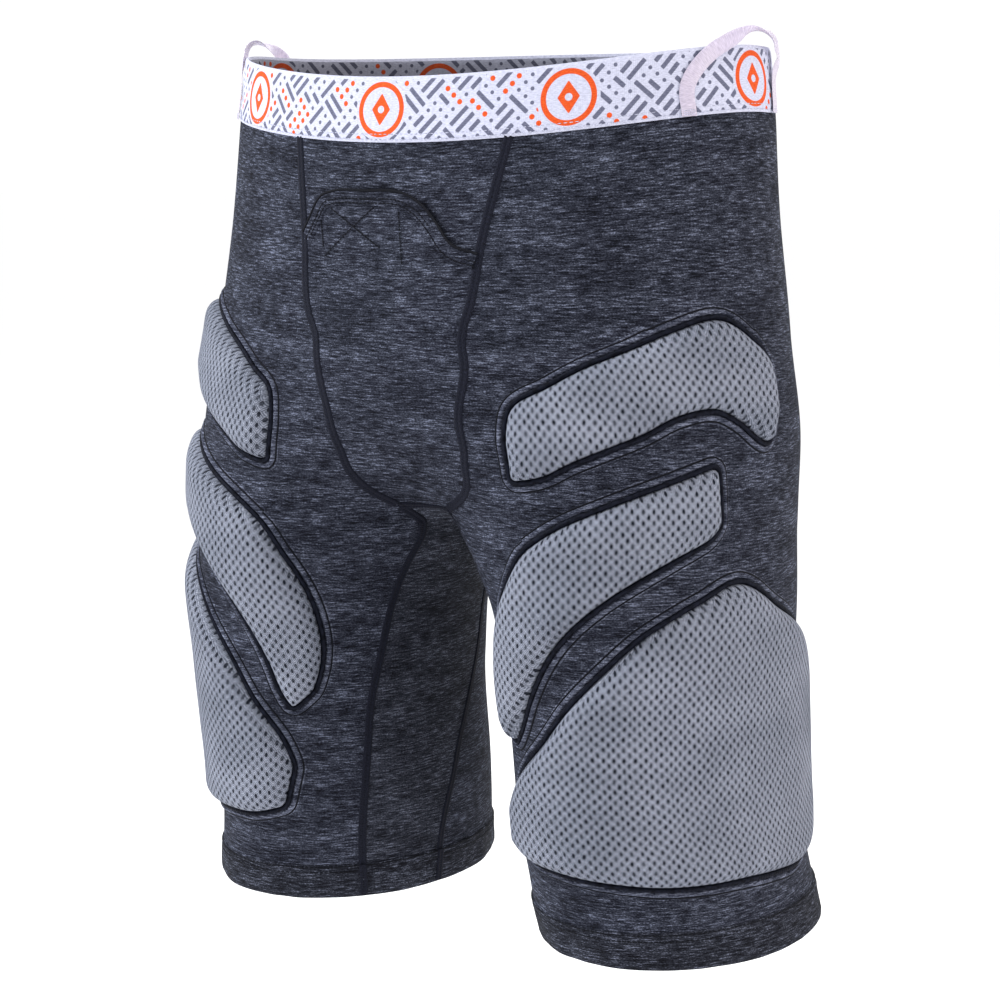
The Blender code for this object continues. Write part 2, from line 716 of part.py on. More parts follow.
def loop_hinge(side):
    """Middle of the line through the two sewn ends of a hanger loop."""
    ends = [on_side(side, float(turn), BAND_BOTTOM, RIBBON_OUT) for turn in (LOOP_FRONT_TURN, LOOP_BACK_TURN)]
    return Vector((ends[0] + ends[1]) / 2)


def main():
    for thing in list(bpy.data.objects):
        bpy.data.objects.remove(thing)
    collection = bpy.data.collections.new(COLLECTION)
    bpy.context.scene.collection.children.link(collection)

    waist = add_joint("waist_frame", Vector((0, 0, 0)))
    add_waistband(waist)
    add_front(waist)
    add_centre_back_seam(waist)
    add_crotch_gusset(waist)
    add_pad("tailbone_pad", tail_place, True, 8, 6, waist)
    for side, prefix in ((1, "left"), (-1, "right")):
        add_hip_panel(side, f"{prefix}_hip_panel", waist)
        add_front_seam(side, f"{prefix}_front_seam", waist)
        add_side_pad(side, f"{prefix}_hip_pad", HIP_PAD, 22, 5, waist)
        add_flex_zone(side, f"{prefix}_flex_zone", waist)
        leg = add_joint(f"{prefix}_leg_hinge", Vector((side * HIP_HINGE.x, HIP_HINGE.y, HIP_HINGE.z)))
        add_leg_panels(side, prefix, leg)
        add_hem(side, prefix, leg)
        add_side_pad(side, f"{prefix}_mid_pad", MID_PAD, 16, 4, leg)
        add_side_pad(side, f"{prefix}_thigh_pad", THIGH_PAD, 14, 6, leg)
        loop = add_joint(f"{prefix}_loop_hinge", loop_hinge(side))
        add_loop(side, f"{prefix}_hanger_loop", loop)


main()
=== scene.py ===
"""Looks of the padded impact shorts: knit panels, woven waistband, mesh-covered pads, seams and loops.

Metres, +Z up, in the part's frame. The garment is laid out on the same skin as the part: a place on
one side is (turn, z), with turn in degrees round that side's hip and leg, 0 at the inner leg, 90 at
the front, 180 at the outer side and 270 at the back. Side 1 is the wearer's left, side -1 the right.
"""

import math

import bpy
import numpy as np
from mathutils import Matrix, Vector
from mathutils.kdtree import KDTree


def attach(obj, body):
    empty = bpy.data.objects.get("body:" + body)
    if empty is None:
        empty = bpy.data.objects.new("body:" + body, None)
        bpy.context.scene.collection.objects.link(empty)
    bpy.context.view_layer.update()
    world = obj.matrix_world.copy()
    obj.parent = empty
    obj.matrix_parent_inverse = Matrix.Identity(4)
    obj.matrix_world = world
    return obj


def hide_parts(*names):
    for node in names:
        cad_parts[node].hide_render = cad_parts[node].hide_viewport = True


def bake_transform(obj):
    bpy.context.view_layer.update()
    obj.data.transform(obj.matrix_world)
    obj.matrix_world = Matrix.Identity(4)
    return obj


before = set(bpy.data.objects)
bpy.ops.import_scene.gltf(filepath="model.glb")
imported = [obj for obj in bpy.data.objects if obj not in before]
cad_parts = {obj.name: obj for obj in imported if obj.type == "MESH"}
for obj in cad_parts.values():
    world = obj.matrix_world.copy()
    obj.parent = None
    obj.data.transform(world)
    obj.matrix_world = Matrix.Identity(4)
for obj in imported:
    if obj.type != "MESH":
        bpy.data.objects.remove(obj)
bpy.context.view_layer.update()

MM = 0.001
SIDES = ((1, "left"), (-1, "right"))

# Heights of the garment's main lines
BAND_BOTTOM = -0.038
CLOSING_TOP = -0.150
CROTCH = -0.270
POUCH_BOTTOM = -0.2585
POCKET_BOTTOM = -0.225
HEM_TOP = -0.503
HEM = -0.525

# Outline of the skin at a few heights: outer side x, front y, back y, and inner leg x
OUTLINE_Z = [0, -0.038, -0.090, -0.150, -0.200, -0.250, -0.300, -0.380, -0.460, -0.525]
OUTER_X = [0.178, 0.1825, 0.187, 0.1965, 0.202, 0.2005, 0.2005, 0.197, 0.198, 0.209]
FRONT_Y = [-0.0955, -0.1005, -0.107, -0.1105, -0.107, -0.1015, -0.099, -0.088, -0.0745, -0.061]
BACK_Y = [0.1305, 0.138, 0.1445, 0.1475, 0.143, 0.1365, 0.133, 0.1355, 0.149, 0.1625]
INNER_Z = [-0.270, -0.285, -0.300, -0.380, -0.460, -0.525]
INNER_X = [0, 0.010, 0.0185, 0.034, 0.0375, 0.043]
# The rim stands higher at the sides and the back than at the front, fading out below the band
SIDE_RISE = 0.0205
BACK_RISE = 0.025
RISE_BOTTOM = -0.150
POUCH_BULGE = 0.004
POUCH_HALF_WIDTH = 0.050
CLEFT_SPAN = 0.028

# As worn, the left leg is turned a little inward, the right leg outward, and the pouch leans to the left
LEG_TURN_Z = [-0.525, -0.475, -0.414, -0.370, -0.300]
LEG_TURN = [14.5, 13, 6.5, 2.5, 0]
POUCH_LEAN_Z = [-0.2585, -0.250, -0.225, -0.200, -0.166, -0.141]
POUCH_LEAN = [0, 4, 5, 3, 1.4, 0]

# Edges of the shell panels, as turn by height: the front seam runs on into the front inseam
FRONT_EDGE_Z = [-0.525, -0.470, -0.420, -0.380, -0.350, -0.320, -0.300, -0.275,
                -0.2585, -0.250, -0.220, -0.200, -0.166, -0.141, -0.090, -0.038]
FRONT_EDGE = [31, 31.8, 33.2, 33.5, 31.2, 29, 28, 29, 38, 52, 75.5, 86.5, 102.5, 106.5, 110, 114]
BACK_EDGE_Z = [-0.525, -0.490, -0.460, -0.425, -0.398, -0.367, -0.320, -0.280, -0.2585]
BACK_EDGE = [359, 356.5, 352.5, 348, 342, 337, 333, 330, 346.6]

# Top edge of the pouch, as height by place across it: -1 is the right seam, 1 the left seam
POUCH_TOP_ACROSS = [-1, -0.91, -0.75, -0.61, -0.24, 0.21, 0.355, 0.55, 0.69, 1]
POUCH_TOP = [-0.093, -0.0855, -0.0722, -0.0688, -0.0675, -0.0698, -0.075, -0.0866, -0.0962, -0.1035]
# Sewn lines on the pouch, each from one (across, height) to another
POUCH_STITCHING = [
    ((-0.61, -0.078), (-0.05, -0.099)),
    ((-0.06, -0.072), (-0.69, -0.105)),
    ((0.13, -0.0790), (0.22, -0.1075)),
    ((-0.76, -0.0825), (-0.73, -0.0995)),
]

# Pads as rungs from one end to the other: turn and z of the upper edge, then of the lower, z in millimetres
HIP_PAD = [
    (98.5, -208, 91.5, -231), (107, -188.5, 102, -227), (117, -177.5, 112, -218.5),
    (126.5, -166, 123.5, -209.5), (136, -156, 133.5, -201.5), (146, -145.5, 143, -192),
    (157, -139, 153, -188.2), (165, -146.5, 160, -195), (172.3, -162, 166.5, -205.5),
    (174, -190, 171, -209.5),
]
MID_PAD = [
    (57.5, -380, 65, -392), (55.5, -362, 71, -379), (56, -344, 76.5, -361),
    (60, -324, 83.5, -342), (66.5, -307, 91.5, -325.5), (75.5, -291, 102, -309.5),
    (86.5, -273, 114, -295), (100, -257.5, 126.5, -282.5), (118.4, -243.5, 139, -271),
    (137, -231, 148, -263), (151.5, -221.5, 152, -255),
]
THIGH_PAD = [
    (63, -431, 65, -459), (70.5, -411, 79, -465.5), (85, -387, 94, -467),
    (97.5, -362, 107, -468.5), (111, -339.5, 121, -470), (122.5, -322, 135, -472),
    (132, -311.5, 147, -473), (144, -301, 158, -473.5), (160, -291, 171, -474),
    (178, -308.5, 186, -476), (197, -327, 202, -477.5), (212, -360, 214, -469),
    (219, -398, 221, -448),
]
# The tailbone pad is laid out in degrees across the centre back
TAIL_PAD = [
    (-6.9, -100, 6.9, -100), (-10.6, -108, 10.6, -108), (-12.3, -130, 12.3, -130),
    (-10.2, -165, 10.2, -165), (-7.5, -192, 7.5, -192), (-4.3, -200, 4.3, -200),
]

CLOTH = 1.2 * MM
PAD_HEIGHT = 10.5 * MM
PAD_BEVEL = 14 * MM
PAD_FOOT = 0.6 * MM
PAD_UNDERSIDE = 0.25 * MM
EDGE_SPACING = 0.5 * MM
CORD_RADIUS = 1.5 * MM
CORD_REACH = 1.7 * MM
# Raised fabric border round a pad: (distance out from the pad, height above the cloth), in millimetres
BORDER = [(0.4, -0.7), (0.4, 0.2), (2.9, 0.2), (3.4, 0.8), (3.9, 1.8), (4.5, 2.2), (5.1, 2.0), (5.7, 1.8),
          (6.3, 1.2), (6.8, 0.2), (7.6, 0.25), (8.6, -0.2), (8.6, -0.7)]
# A dark thread line along the groove at the border's outer foot: partly stitching, partly painted shade of
# the crease.
GROOVE_LINE_REACH = 7.0 * MM
GROOVE_LINE_RADIUS = 0.6 * MM
MESH_PITCH = 5.4 * MM
MESH_ROW = 3.2 * MM
HOLE_HALF_WIDTH = 0.78 * MM
HOLE_HALF_HEIGHT = 1.75 * MM
# Section of the turned-up hem: (distance below its top, distance out), in millimetres
HEM_PROFILE = [(-1.8, -0.1), (-1.2, 0.85), (0, 1.15), (5, 1.1), (10, 1.1), (15, 1.1), (19, 1.05), (21.5, 0.6),
               (22.4, -0.3), (21.8, -1.2), (19, -1.55), (12, -1.6), (5, -1.6), (0, -1.6), (-0.5, -1.0)]
SEAM_WIDTH = 5.6 * MM
SEAM_HEIGHT = 0.8 * MM
THREAD_PITCH = 1.7 * MM

# Waistband print: rings on a basket weave of strokes and dots
RINGS = 8
RING_OFFSET = -0.009
RING_RADIUS = 14.6 * MM
RING_HALF_STROKE = 1.6 * MM
RING_MARGIN = 2.0 * MM
BAND_COLUMNS = 1320
BAND_ROWS = 56
LATTICE_STEPS = 236
STROKE_HALF_WIDTH = 1.35 * MM
GREY_DOT = 1.2 * MM
ORANGE_DOT = 1.6 * MM
INK_BLUR = 0.22 * MM

LOOP_FRONT_TURN = 152.5
LOOP_BACK_TURN = 187.5
# Centre line of a hanger loop by share of its length: turn, height, and distance out from where it is sewn
LOOP_SHARE = [0, 0.16, 0.33, 0.45, 0.55, 0.70, 0.80, 0.88, 1]
LOOP_TURN = [LOOP_FRONT_TURN, 152.5, 159, 167, 174, 187, 190, 188.5, LOOP_BACK_TURN]
LOOP_Z = [BAND_BOTTOM, -0.020, -0.004, 0.0045, 0.0085, 0.003, -0.007, -0.016, BAND_BOTTOM]
LOOP_OUT = [0, 0, 0.001, 0.002, 0.003, 0.004, 0.004, 0.001, 0]
TWIST_START = 0.40
TWIST_END = 0.75
RIBBON_WIDTH = 9.5 * MM
RIBBON_THICKNESS = 0.7 * MM
RIBBON_OUT = 2.0 * MM
TACK_HALF_TURN = 1.25

FLOOR_Z = -1.0
FLOOR_HALF = 150.0
LIGHT_TARGET = (0, 0, -0.27)


def through(places, values, at):
    """Smooth curve through the given values; places rise or fall throughout."""
    x = np.asarray(places, float)
    y = np.asarray(values, float)
    if x[0] > x[-1]:
        x, y = x[::-1], y[::-1]
    at = np.clip(np.asarray(at, float), x[0], x[-1])
    slope = np.gradient(y, x)
    k = np.clip(np.searchsorted(x, at, side="right") - 1, 0, len(x) - 2)
    width = x[k + 1] - x[k]
    t = (at - x[k]) / width
    start = (1 + 2 * t) * (1 - t) ** 2 * y[k] + t * (1 - t) ** 2 * width * slope[k]
    end = t * t * (3 - 2 * t) * y[k + 1] + t * t * (t - 1) * width * slope[k + 1]
    return start + end


def smooth(low, high, value):
    """0 below low, 1 above high and a smooth step between."""
    t = np.clip((np.asarray(value, float) - low) / (high - low), 0, 1)
    return t * t * (3 - 2 * t)


def closing(z):
    """Degrees by which a side's ring has closed behind the centre plane: 0 at the hip, 90 at the crotch."""
    share = np.clip((CLOSING_TOP - z) / (CLOSING_TOP - CROTCH), 0, 1)
    return 90 * share ** 1.6


def saddle(turn):
    """Height of the crotch line, on the centre plane, at turns from -90 to 90."""
    share = np.clip((90 - np.abs(turn)) / 90, 0, 1) ** (1 / 1.6)
    return CLOSING_TOP - share * (CLOSING_TOP - CROTCH)


def skin(turn, z):
    """Points of the left side's skin."""
    turn = np.asarray(turn, float)
    z = np.asarray(z, float)
    outer = through(OUTLINE_Z, OUTER_X, z)
    front = through(OUTLINE_Z, FRONT_Y, z)
    back = through(OUTLINE_Z, BACK_Y, z)
    inner = np.where(z > CROTCH, 0, through(INNER_Z, INNER_X, z))
    lap = np.sin(np.radians(closing(z)))
    radius = (outer - inner) / (1 + lap)
    angle = np.radians(turn)
    x = inner + radius * lap - radius * np.cos(angle)
    span = CLEFT_SPAN * np.sqrt(np.clip((z - CROTCH) / 0.035, 0, 1))
    level = np.cos(angle) - (np.hypot(x, span) - x) / radius * (1 - x / outer) ** 2
    ahead = np.where(np.mod(turn + 180, 360) > 180, 1.0, -1.0)
    y = (front + back) / 2 - (back - front) / 2 * ahead * np.sqrt(np.clip(1 - level ** 2, 0, 1))
    rise = np.sin(math.pi * np.clip((-0.085 - z) / 0.183, 0, 1))
    y = y - POUCH_BULGE * rise * (ahead > 0) * np.exp(-((x / POUCH_HALF_WIDTH) ** 2))
    rise = SIDE_RISE * np.cos(angle) ** 2 + BACK_RISE * (ahead < 0) * np.sin(angle) ** 2
    lift = rise * np.clip((z - RISE_BOTTOM) / (BAND_BOTTOM - RISE_BOTTOM), 0, 1)
    return np.stack([x, y, z + lift], -1)


def pair(first, second):
    return np.stack(np.broadcast_arrays(first, second), -1)


def unit(vectors):
    return vectors / np.linalg.norm(vectors, axis=-1, keepdims=True)


def on_side(side, turn, z, out=0.0):
    """Points a distance out from the skin, on the side or on each point's own side."""
    turn, z, out = np.broadcast_arrays(np.asarray(turn, float), np.asarray(z, float), np.asarray(out, float))
    step = 1e-4
    across = skin(turn + 100 * step, z) - skin(turn - 100 * step, z)
    down = skin(turn, z - step) - skin(turn, z + step)
    points = skin(turn, z) + out[..., None] * unit(np.cross(down, across))
    points[..., 0] *= side
    return points


def worn_shift(side, z):
    """Degrees by which a leg's features are turned as worn."""
    return -side * through(LEG_TURN_Z, LEG_TURN, z)


def side_chart(side):
    """Chart of one side: (turn, z, out) to points."""
    return lambda turn, z, out: on_side(side, turn, z, out)


def pad_chart(side):
    """Chart of one side for features that turn with the leg as worn."""
    return lambda turn, z, out: on_side(side, turn + worn_shift(side, z), z, out)


def front_edge(side, z):
    lean = side * through(POUCH_LEAN_Z, POUCH_LEAN, z)
    return through(FRONT_EDGE_Z, FRONT_EDGE, z) + worn_shift(side, z) + lean


def back_edge(side, z):
    low = through(BACK_EDGE_Z, BACK_EDGE, z) + worn_shift(side, z)
    return np.where(z > BACK_EDGE_Z[-1], 270 + closing(z), low)


def side_of(across):
    return np.where(np.asarray(across) >= 0, 1, -1)


def front_chart(across, z, out):
    """Chart across the centre front: across runs from -1 at the right front seam to 1 at the left one."""
    side, middle = side_of(across), 90 - closing(z)
    return on_side(side, middle + (front_edge(side, z) - middle) * np.abs(across), z, out)


def back_chart(across, z, out):
    """Chart across the centre back: across is in degrees, positive to the wearer's left."""
    return on_side(side_of(across), 270 + closing(z) - np.abs(across), z, out)


def ring_chart(angle, z, out):
    """Chart right round the waist: 0 at the centre front, 90 at the wearer's left."""
    across = 180 - np.mod(angle, 360)
    return on_side(side_of(across), 270 - np.abs(across), z, out)


def raised(chart, by):
    """The same chart, lifted off the skin."""
    return lambda a, z, out: chart(a, z, out + by)


def outward(chart, a, z):
    """Unit directions off the skin."""
    return (chart(a, z, MM) - chart(a, z, 0.0)) / MM


# Distance round the skin from its outer side, in metres, by height and turn
OUTER_TURN = 180
ARC_TURNS = np.linspace(-90, 450, 541)
ARC_LEVELS = np.linspace(HEM, 0, 106)


def arc_table():
    points = skin(*np.meshgrid(ARC_TURNS, ARC_LEVELS))
    steps = np.linalg.norm(np.diff(points, axis=1), axis=-1)
    arc = np.hstack([np.zeros((len(steps), 1)), np.cumsum(steps, axis=1)])
    return arc - arc[:, ARC_TURNS == OUTER_TURN]


ARC = arc_table()


def around(turn, z):
    """Distance round the skin from the outer side, in metres."""
    a = np.clip(np.asarray(turn, float) - ARC_TURNS[0], 0, len(ARC_TURNS) - 1.001)
    b = np.clip((1 - np.asarray(z, float) / HEM) * (len(ARC_LEVELS) - 1), 0, len(ARC_LEVELS) - 1.001)
    i, j = a.astype(int), b.astype(int)
    fa, fb = a - i, b - j
    low = ARC[j, i] * (1 - fa) + ARC[j, i + 1] * fa
    high = ARC[j + 1, i] * (1 - fa) + ARC[j + 1, i + 1] * fa
    return low * (1 - fb) + high * fb


def cloth_uv(side, turn, z):
    return pair(side * around(turn, z), z)


def worn_uv(side):
    return lambda turn, z: cloth_uv(side, turn + worn_shift(side, z), z)


def centre_uv(chart):
    """Cloth places either side of a centre line: the distance across, and z."""

    def uv(across, z):
        width = np.linalg.norm(chart(across, z, 0.0) - chart(0.0 * across, z, 0.0), axis=-1)
        return pair(np.sign(across) * width, z)

    return uv


front_uv = centre_uv(front_chart)
back_uv = centre_uv(back_chart)


# Mesh building


def grid_quads(rows, columns, wrap_down=False, wrap_across=False):
    """Faces of a grid of points, as rows of four indices."""
    index = np.arange(rows * columns).reshape(rows, columns)
    if wrap_down:
        index = np.vstack([index, index[:1]])
    if wrap_across:
        index = np.hstack([index, index[:, :1]])
    return np.stack([index[:-1, :-1], index[1:, :-1], index[1:, 1:], index[:-1, 1:]], -1).reshape(-1, 4)


def signed_volume(points, quads):
    a, b, c, d = (points[quads[:, k]] for k in range(4))
    first = np.einsum("ij,ij->i", a, np.cross(b, c))
    second = np.einsum("ij,ij->i", a, np.cross(c, d))
    return float((first + second).sum()) / 6


def add_solid(name, points, quads, corners, uv, materials, slots=None, caps=(), floats=None):
    """A closed mesh object, its faces turned outward. quads index points, and corners index uv."""
    if signed_volume(points, quads) < 0:
        quads = quads[:, ::-1]
        corners = corners[:, ::-1]
        caps = [list(cap)[::-1] for cap in caps]
    mesh = bpy.data.meshes.new(name)
    mesh.from_pydata(points.tolist(), [], quads.tolist() + [list(cap) for cap in caps])
    layer = mesh.uv_layers.new(name="cloth")
    flat = uv[corners.ravel()]
    extra = [uv[np.minimum(cap, len(uv) - 1)] for cap in caps]
    layer.uv.foreach_set("vector", np.vstack([flat, *extra]).astype(np.float32).ravel())
    for material in materials:
        mesh.materials.append(material)
    if slots is not None:
        numbers = np.concatenate([slots, np.zeros(len(caps), int)]).astype(np.int32)
        mesh.polygons.foreach_set("material_index", numbers)
    for key, values in (floats or {}).items():
        mesh.attributes.new(key, "FLOAT", "POINT").data.foreach_set("value", values.astype(np.float32))
    mesh.shade_smooth()
    mesh.set_sharp_from_angle(angle=math.radians(60))
    mesh.update()
    thing = bpy.data.objects.new(name, mesh)
    bpy.context.scene.collection.objects.link(thing)
    return thing


def edge_lines(index, closed):
    lines = [index[0], index[-1][::-1]]
    return lines if closed else lines + [index[::-1, 0], index[:, -1]]


def rim_quads(line, count):
    """Faces from a line of the outer face to the same line of the inner one, count places on."""
    return np.stack([line[:-1], line[1:], line[1:] + count, line[:-1] + count], -1)


def add_shell(name, outer, inner, uv, materials, closed=False, floats=None):
    """A sheet of cloth with an outer and an inner face, each (rows, columns, 3), joined round the edges."""
    rows, columns = outer.shape[:2]
    count = rows * columns
    face = grid_quads(rows, columns, False, closed)
    uv_columns = uv.shape[1]
    face_uv = grid_quads(rows, uv_columns)
    index = np.arange(count).reshape(rows, columns)
    if closed:
        index = np.hstack([index, index[:, :1]])
    rims = [rim_quads(line, count) for line in edge_lines(index, closed)]
    uv_index = np.arange(rows * uv_columns).reshape(rows, uv_columns)
    rims_uv = [rim_quads(line, 0) for line in edge_lines(uv_index, closed)]
    quads = np.vstack([face, face[:, ::-1] + count, *rims])
    corners = np.vstack([face_uv, face_uv[:, ::-1], *rims_uv])
    slots = np.zeros(len(quads), int)
    if len(materials) > 1:
        slots[len(face):2 * len(face)] = 1
    points = np.vstack([outer.reshape(-1, 3), inner.reshape(-1, 3)])
    doubled = None if floats is None else {key: np.tile(value.ravel(), 2) for key, value in floats.items()}
    return add_solid(name, points, quads, corners, uv.reshape(-1, 2), materials, slots, floats=doubled)


def add_sheet(name, chart, a, z, out, uv, materials, thickness=CLOTH, **more):
    """A sheet of cloth laid on a chart, with its outer face a distance out."""
    return add_shell(name, chart(a, z, out), chart(a, z, out - thickness), uv, materials, **more)


def add_sweep(name, rings, lengths, materials, closed=False):
    """A solid through rings of points, (stations, around, 3); lengths is each station's distance along."""
    stations, around_count = rings.shape[:2]
    quads = grid_quads(stations, around_count, closed, True)
    girth = run_length(np.vstack([rings[0], rings[0, :1]]))
    if closed:
        gap = np.linalg.norm(rings[0, 0] - rings[-1, 0])
        lengths = np.append(lengths, lengths[-1] + gap)
    uv = pair(lengths[:, None], girth[None, :])
    corners = grid_quads(len(lengths), around_count + 1)
    caps = []
    if not closed:
        first = np.arange(around_count)
        caps = [first, first[::-1] + (stations - 1) * around_count]
    return add_solid(name, rings.reshape(-1, 3), quads, corners, uv.reshape(-1, 2), materials, caps=caps)


def run_length(points):
    steps = np.linalg.norm(np.diff(points, axis=0), axis=1)
    return np.concatenate([[0], np.cumsum(steps)])


def evenly(chart, line, spacing, closed=False):
    """The line's (across, z) places again, a set distance apart on the skin."""
    places = np.vstack([line, line[:1]]) if closed else line
    length = run_length(chart(places[:, 0], places[:, 1], 0.0))
    count = max(4, int(round(length[-1] / spacing)) + 1)
    at = np.linspace(0, length[-1], count)
    if closed:
        at = at[:-1]
    return pair(*(np.interp(at, length, places[:, k]) for k in (0, 1)))


def beside(chart, line, closed=False):
    """Change of (across, z) for each metre to the right of a line on the skin, seen from outside."""
    a, z = line[:, 0], line[:, 1]
    step = np.array([0.02, 2e-5])
    along_a = (chart(a + step[0], z, 0.0) - chart(a - step[0], z, 0.0)) / (2 * step[0])
    along_z = (chart(a, z + step[1], 0.0) - chart(a, z - step[1], 0.0)) / (2 * step[1])
    points = chart(a, z, 0.0)
    if closed:
        tangent = np.roll(points, -1, axis=0) - np.roll(points, 1, axis=0)
    else:
        tangent = np.gradient(points, axis=0)
    right = unit(np.cross(tangent, outward(chart, a, z)))
    pairs = ((along_a, along_a), (along_a, along_z), (along_z, along_z), (along_a, right), (along_z, right))
    e, f, g, ra, rz = (np.einsum("ij,ij->i", p, q) for p, q in pairs)
    size = e * g - f * f
    return pair((g * ra - f * rz) / size, (e * rz - f * ra) / size)


def sweep_on(name, chart, line, aside, above, materials, closed=False, slopes=None):
    """A solid along a line on the skin: each ring point is a distance aside and a height above."""
    slopes = beside(chart, line, closed) if slopes is None else slopes
    aside, above = np.broadcast_arrays(np.atleast_2d(aside), np.atleast_2d(above))
    across = line[:, :1] + slopes[:, :1] * aside
    z = line[:, 1:] + slopes[:, 1:] * aside
    rings = chart(across, z, np.broadcast_to(above, across.shape))
    return add_sweep(name, rings, run_length(chart(line[:, 0], line[:, 1], 0.0)), materials, closed)


def circle(radius, count, aside=0.0, above=0.0):
    """Ring of points about a place aside of a line and above it."""
    angle = np.arange(count) * 2 * math.pi / count
    return radius * np.cos(angle) + aside, radius * np.sin(angle) + above


def add_stitches(name, chart, lines, pitch, size, material, body):
    """Rows of thread stitches as one mesh. pitch, and size's length, width and height, are in millimetres."""
    length, width, height = np.array(size) * MM
    ends = np.array([-0.5, -0.34, 0.0, 0.34, 0.5])
    girth = np.array([0.18, 0.8, 1.0, 0.8, 0.18])
    sides = 6
    count = sides * len(ends)
    ring_side, ring_up = circle(1.0, sides)
    aside = girth[:, None] * ring_side * width / 2
    lift = girth[:, None] * (ring_up + 0.3) * height / 2
    groups = []
    for line in lines:
        spots = evenly(chart, line, pitch * MM)
        base = chart(spots[:, 0], spots[:, 1], 0.0)
        normal = outward(chart, spots[:, 0], spots[:, 1])
        tangent = unit(np.gradient(base, axis=0))
        right = np.cross(tangent, normal)
        solids = base[:, None, None, :] + tangent[:, None, None, :] * (ends * length)[None, :, None, None]
        solids = solids + right[:, None, None, :] * aside[None, :, :, None]
        solids = solids + normal[:, None, None, :] * lift[None, :, :, None]
        groups.append(solids.reshape(-1, count, 3))
    solids = np.vstack(groups)
    starts = count * np.arange(len(solids))
    quads = (grid_quads(len(ends), sides, False, True)[None] + starts[:, None, None]).reshape(-1, 4)
    ring = np.arange(sides)
    caps = []
    for start in starts:
        caps += [ring + start, ring[::-1] + start + count - sides]
    points = solids.reshape(-1, 3)
    uv = pair(points[:, 0] + points[:, 1], points[:, 2])
    stitches = add_solid(name, points, quads, quads, uv, [material], caps=caps)
    return settle(stitches, [], body)


def lattice_noise(a, b, seed):
    """Smooth noise between -1 and 1 at (a, b), the same each run."""

    def corner(i, j):
        value = np.sin(i * 127.1 + j * 311.7 + seed * 74.7) * 43758.5453
        return 2 * (value - np.floor(value)) - 1

    i, j = np.floor(a), np.floor(b)
    fa, fb = smooth(0, 1, a - i), smooth(0, 1, b - j)
    low = corner(i, j) * (1 - fa) + corner(i + 1, j) * fa
    high = corner(i, j + 1) * (1 - fa) + corner(i + 1, j + 1) * fa
    return low * (1 - fb) + high * fb


# Materials


class Value:
    """A number put out by a node; sums, differences and products of it are further nodes."""

    def __init__(self, paint, socket):
        self.paint = paint
        self.socket = socket

    def __add__(self, other):
        return self.paint.math("ADD", self, other)

    def __sub__(self, other):
        return self.paint.math("SUBTRACT", self, other)

    def __rsub__(self, other):
        return self.paint.math("SUBTRACT", other, self)

    def __mul__(self, other):
        return self.paint.math("MULTIPLY", self, other)


class Paint:
    """A material's node tree, with short calls for the nodes that the materials share."""

    def __init__(self, name, roughness, specular=0.4):
        self.material = bpy.data.materials.new(name)
        self.material.use_nodes = True
        self.tree = self.material.node_tree
        self.shader = self.tree.nodes["Principled BSDF"]
        self.set("Roughness", roughness)
        self.set("Specular IOR Level", specular)

    def set(self, key, value):
        self.join(value, self.shader.inputs[key])

    def node(self, kind, inputs=None, output=0, **settings):
        """A new node's output, once its settings are made and its inputs filled."""
        made = self.tree.nodes.new(kind)
        for key, value in settings.items():
            setattr(made, key, value)
        for key, value in (inputs or {}).items():
            self.join(value, made.inputs[key])
        return Value(self, made.outputs[output])

    def join(self, source, target):
        """Puts a number, a colour or a node's output into an input."""
        if isinstance(source, Value):
            self.tree.links.new(source.socket, target)
        elif isinstance(source, tuple):
            target.default_value = (*source, 1.0)[:len(target.default_value)]
        else:
            target.default_value = source

    def place(self, across, up):
        """The cloth's own (u, v), in metres, times a number of repeats a metre each way."""
        inputs = {"Vector": self.node("ShaderNodeUVMap", uv_map="cloth"), "Scale": (across, up, 1)}
        return self.node("ShaderNodeMapping", inputs)

    def split(self, across, up):
        """The cloth's own u and v, in repeats of the given widths in metres."""
        inputs = {0: self.place(1 / across, 1 / up)}
        return [self.node("ShaderNodeSeparateXYZ", inputs, output) for output in (0, 1)]

    def noise(self, across, up, detail=2.0, roughness=0.5):
        inputs = {"Vector": self.place(across, up), "Scale": 1.0, "Detail": detail, "Roughness": roughness}
        return self.node("ShaderNodeTexNoise", inputs, "Fac", noise_dimensions="2D")

    def math(self, operation, a, b=0.0):
        return self.node("ShaderNodeMath", {0: a, 1: b}, operation=operation)

    def wave(self, turns):
        """Sine of a number of full turns."""
        return self.math("SINE", turns * (2 * math.pi))

    def ramp(self, value, *stops):
        made = self.tree.nodes.new("ShaderNodeValToRGB")
        elements = made.color_ramp.elements
        while len(elements) < len(stops):
            elements.new(0.5)
        for element, (position, colour) in zip(elements, stops):
            element.position = position
            element.color = (*colour, 1)
        self.join(value, made.inputs[0])
        return Value(self, made.outputs[0])

    def mix(self, share, a, b):
        return self.node("ShaderNodeMix", {"Factor": share, 6: a, 7: b}, 2, data_type="RGBA")

    def step(self, value, low, high):
        """0 at low, 1 at high and a smooth step between."""
        inputs = {"From Min": low, "From Max": high, "Value": value}
        return self.node("ShaderNodeMapRange", inputs, interpolation_type="SMOOTHSTEP")

    def bump(self, height, distance, strength):
        inputs = {"Distance": distance, "Strength": strength, "Height": height}
        self.set("Normal", self.node("ShaderNodeBump", inputs))


def scaled(colour, by):
    return tuple(channel * by for channel in colour)


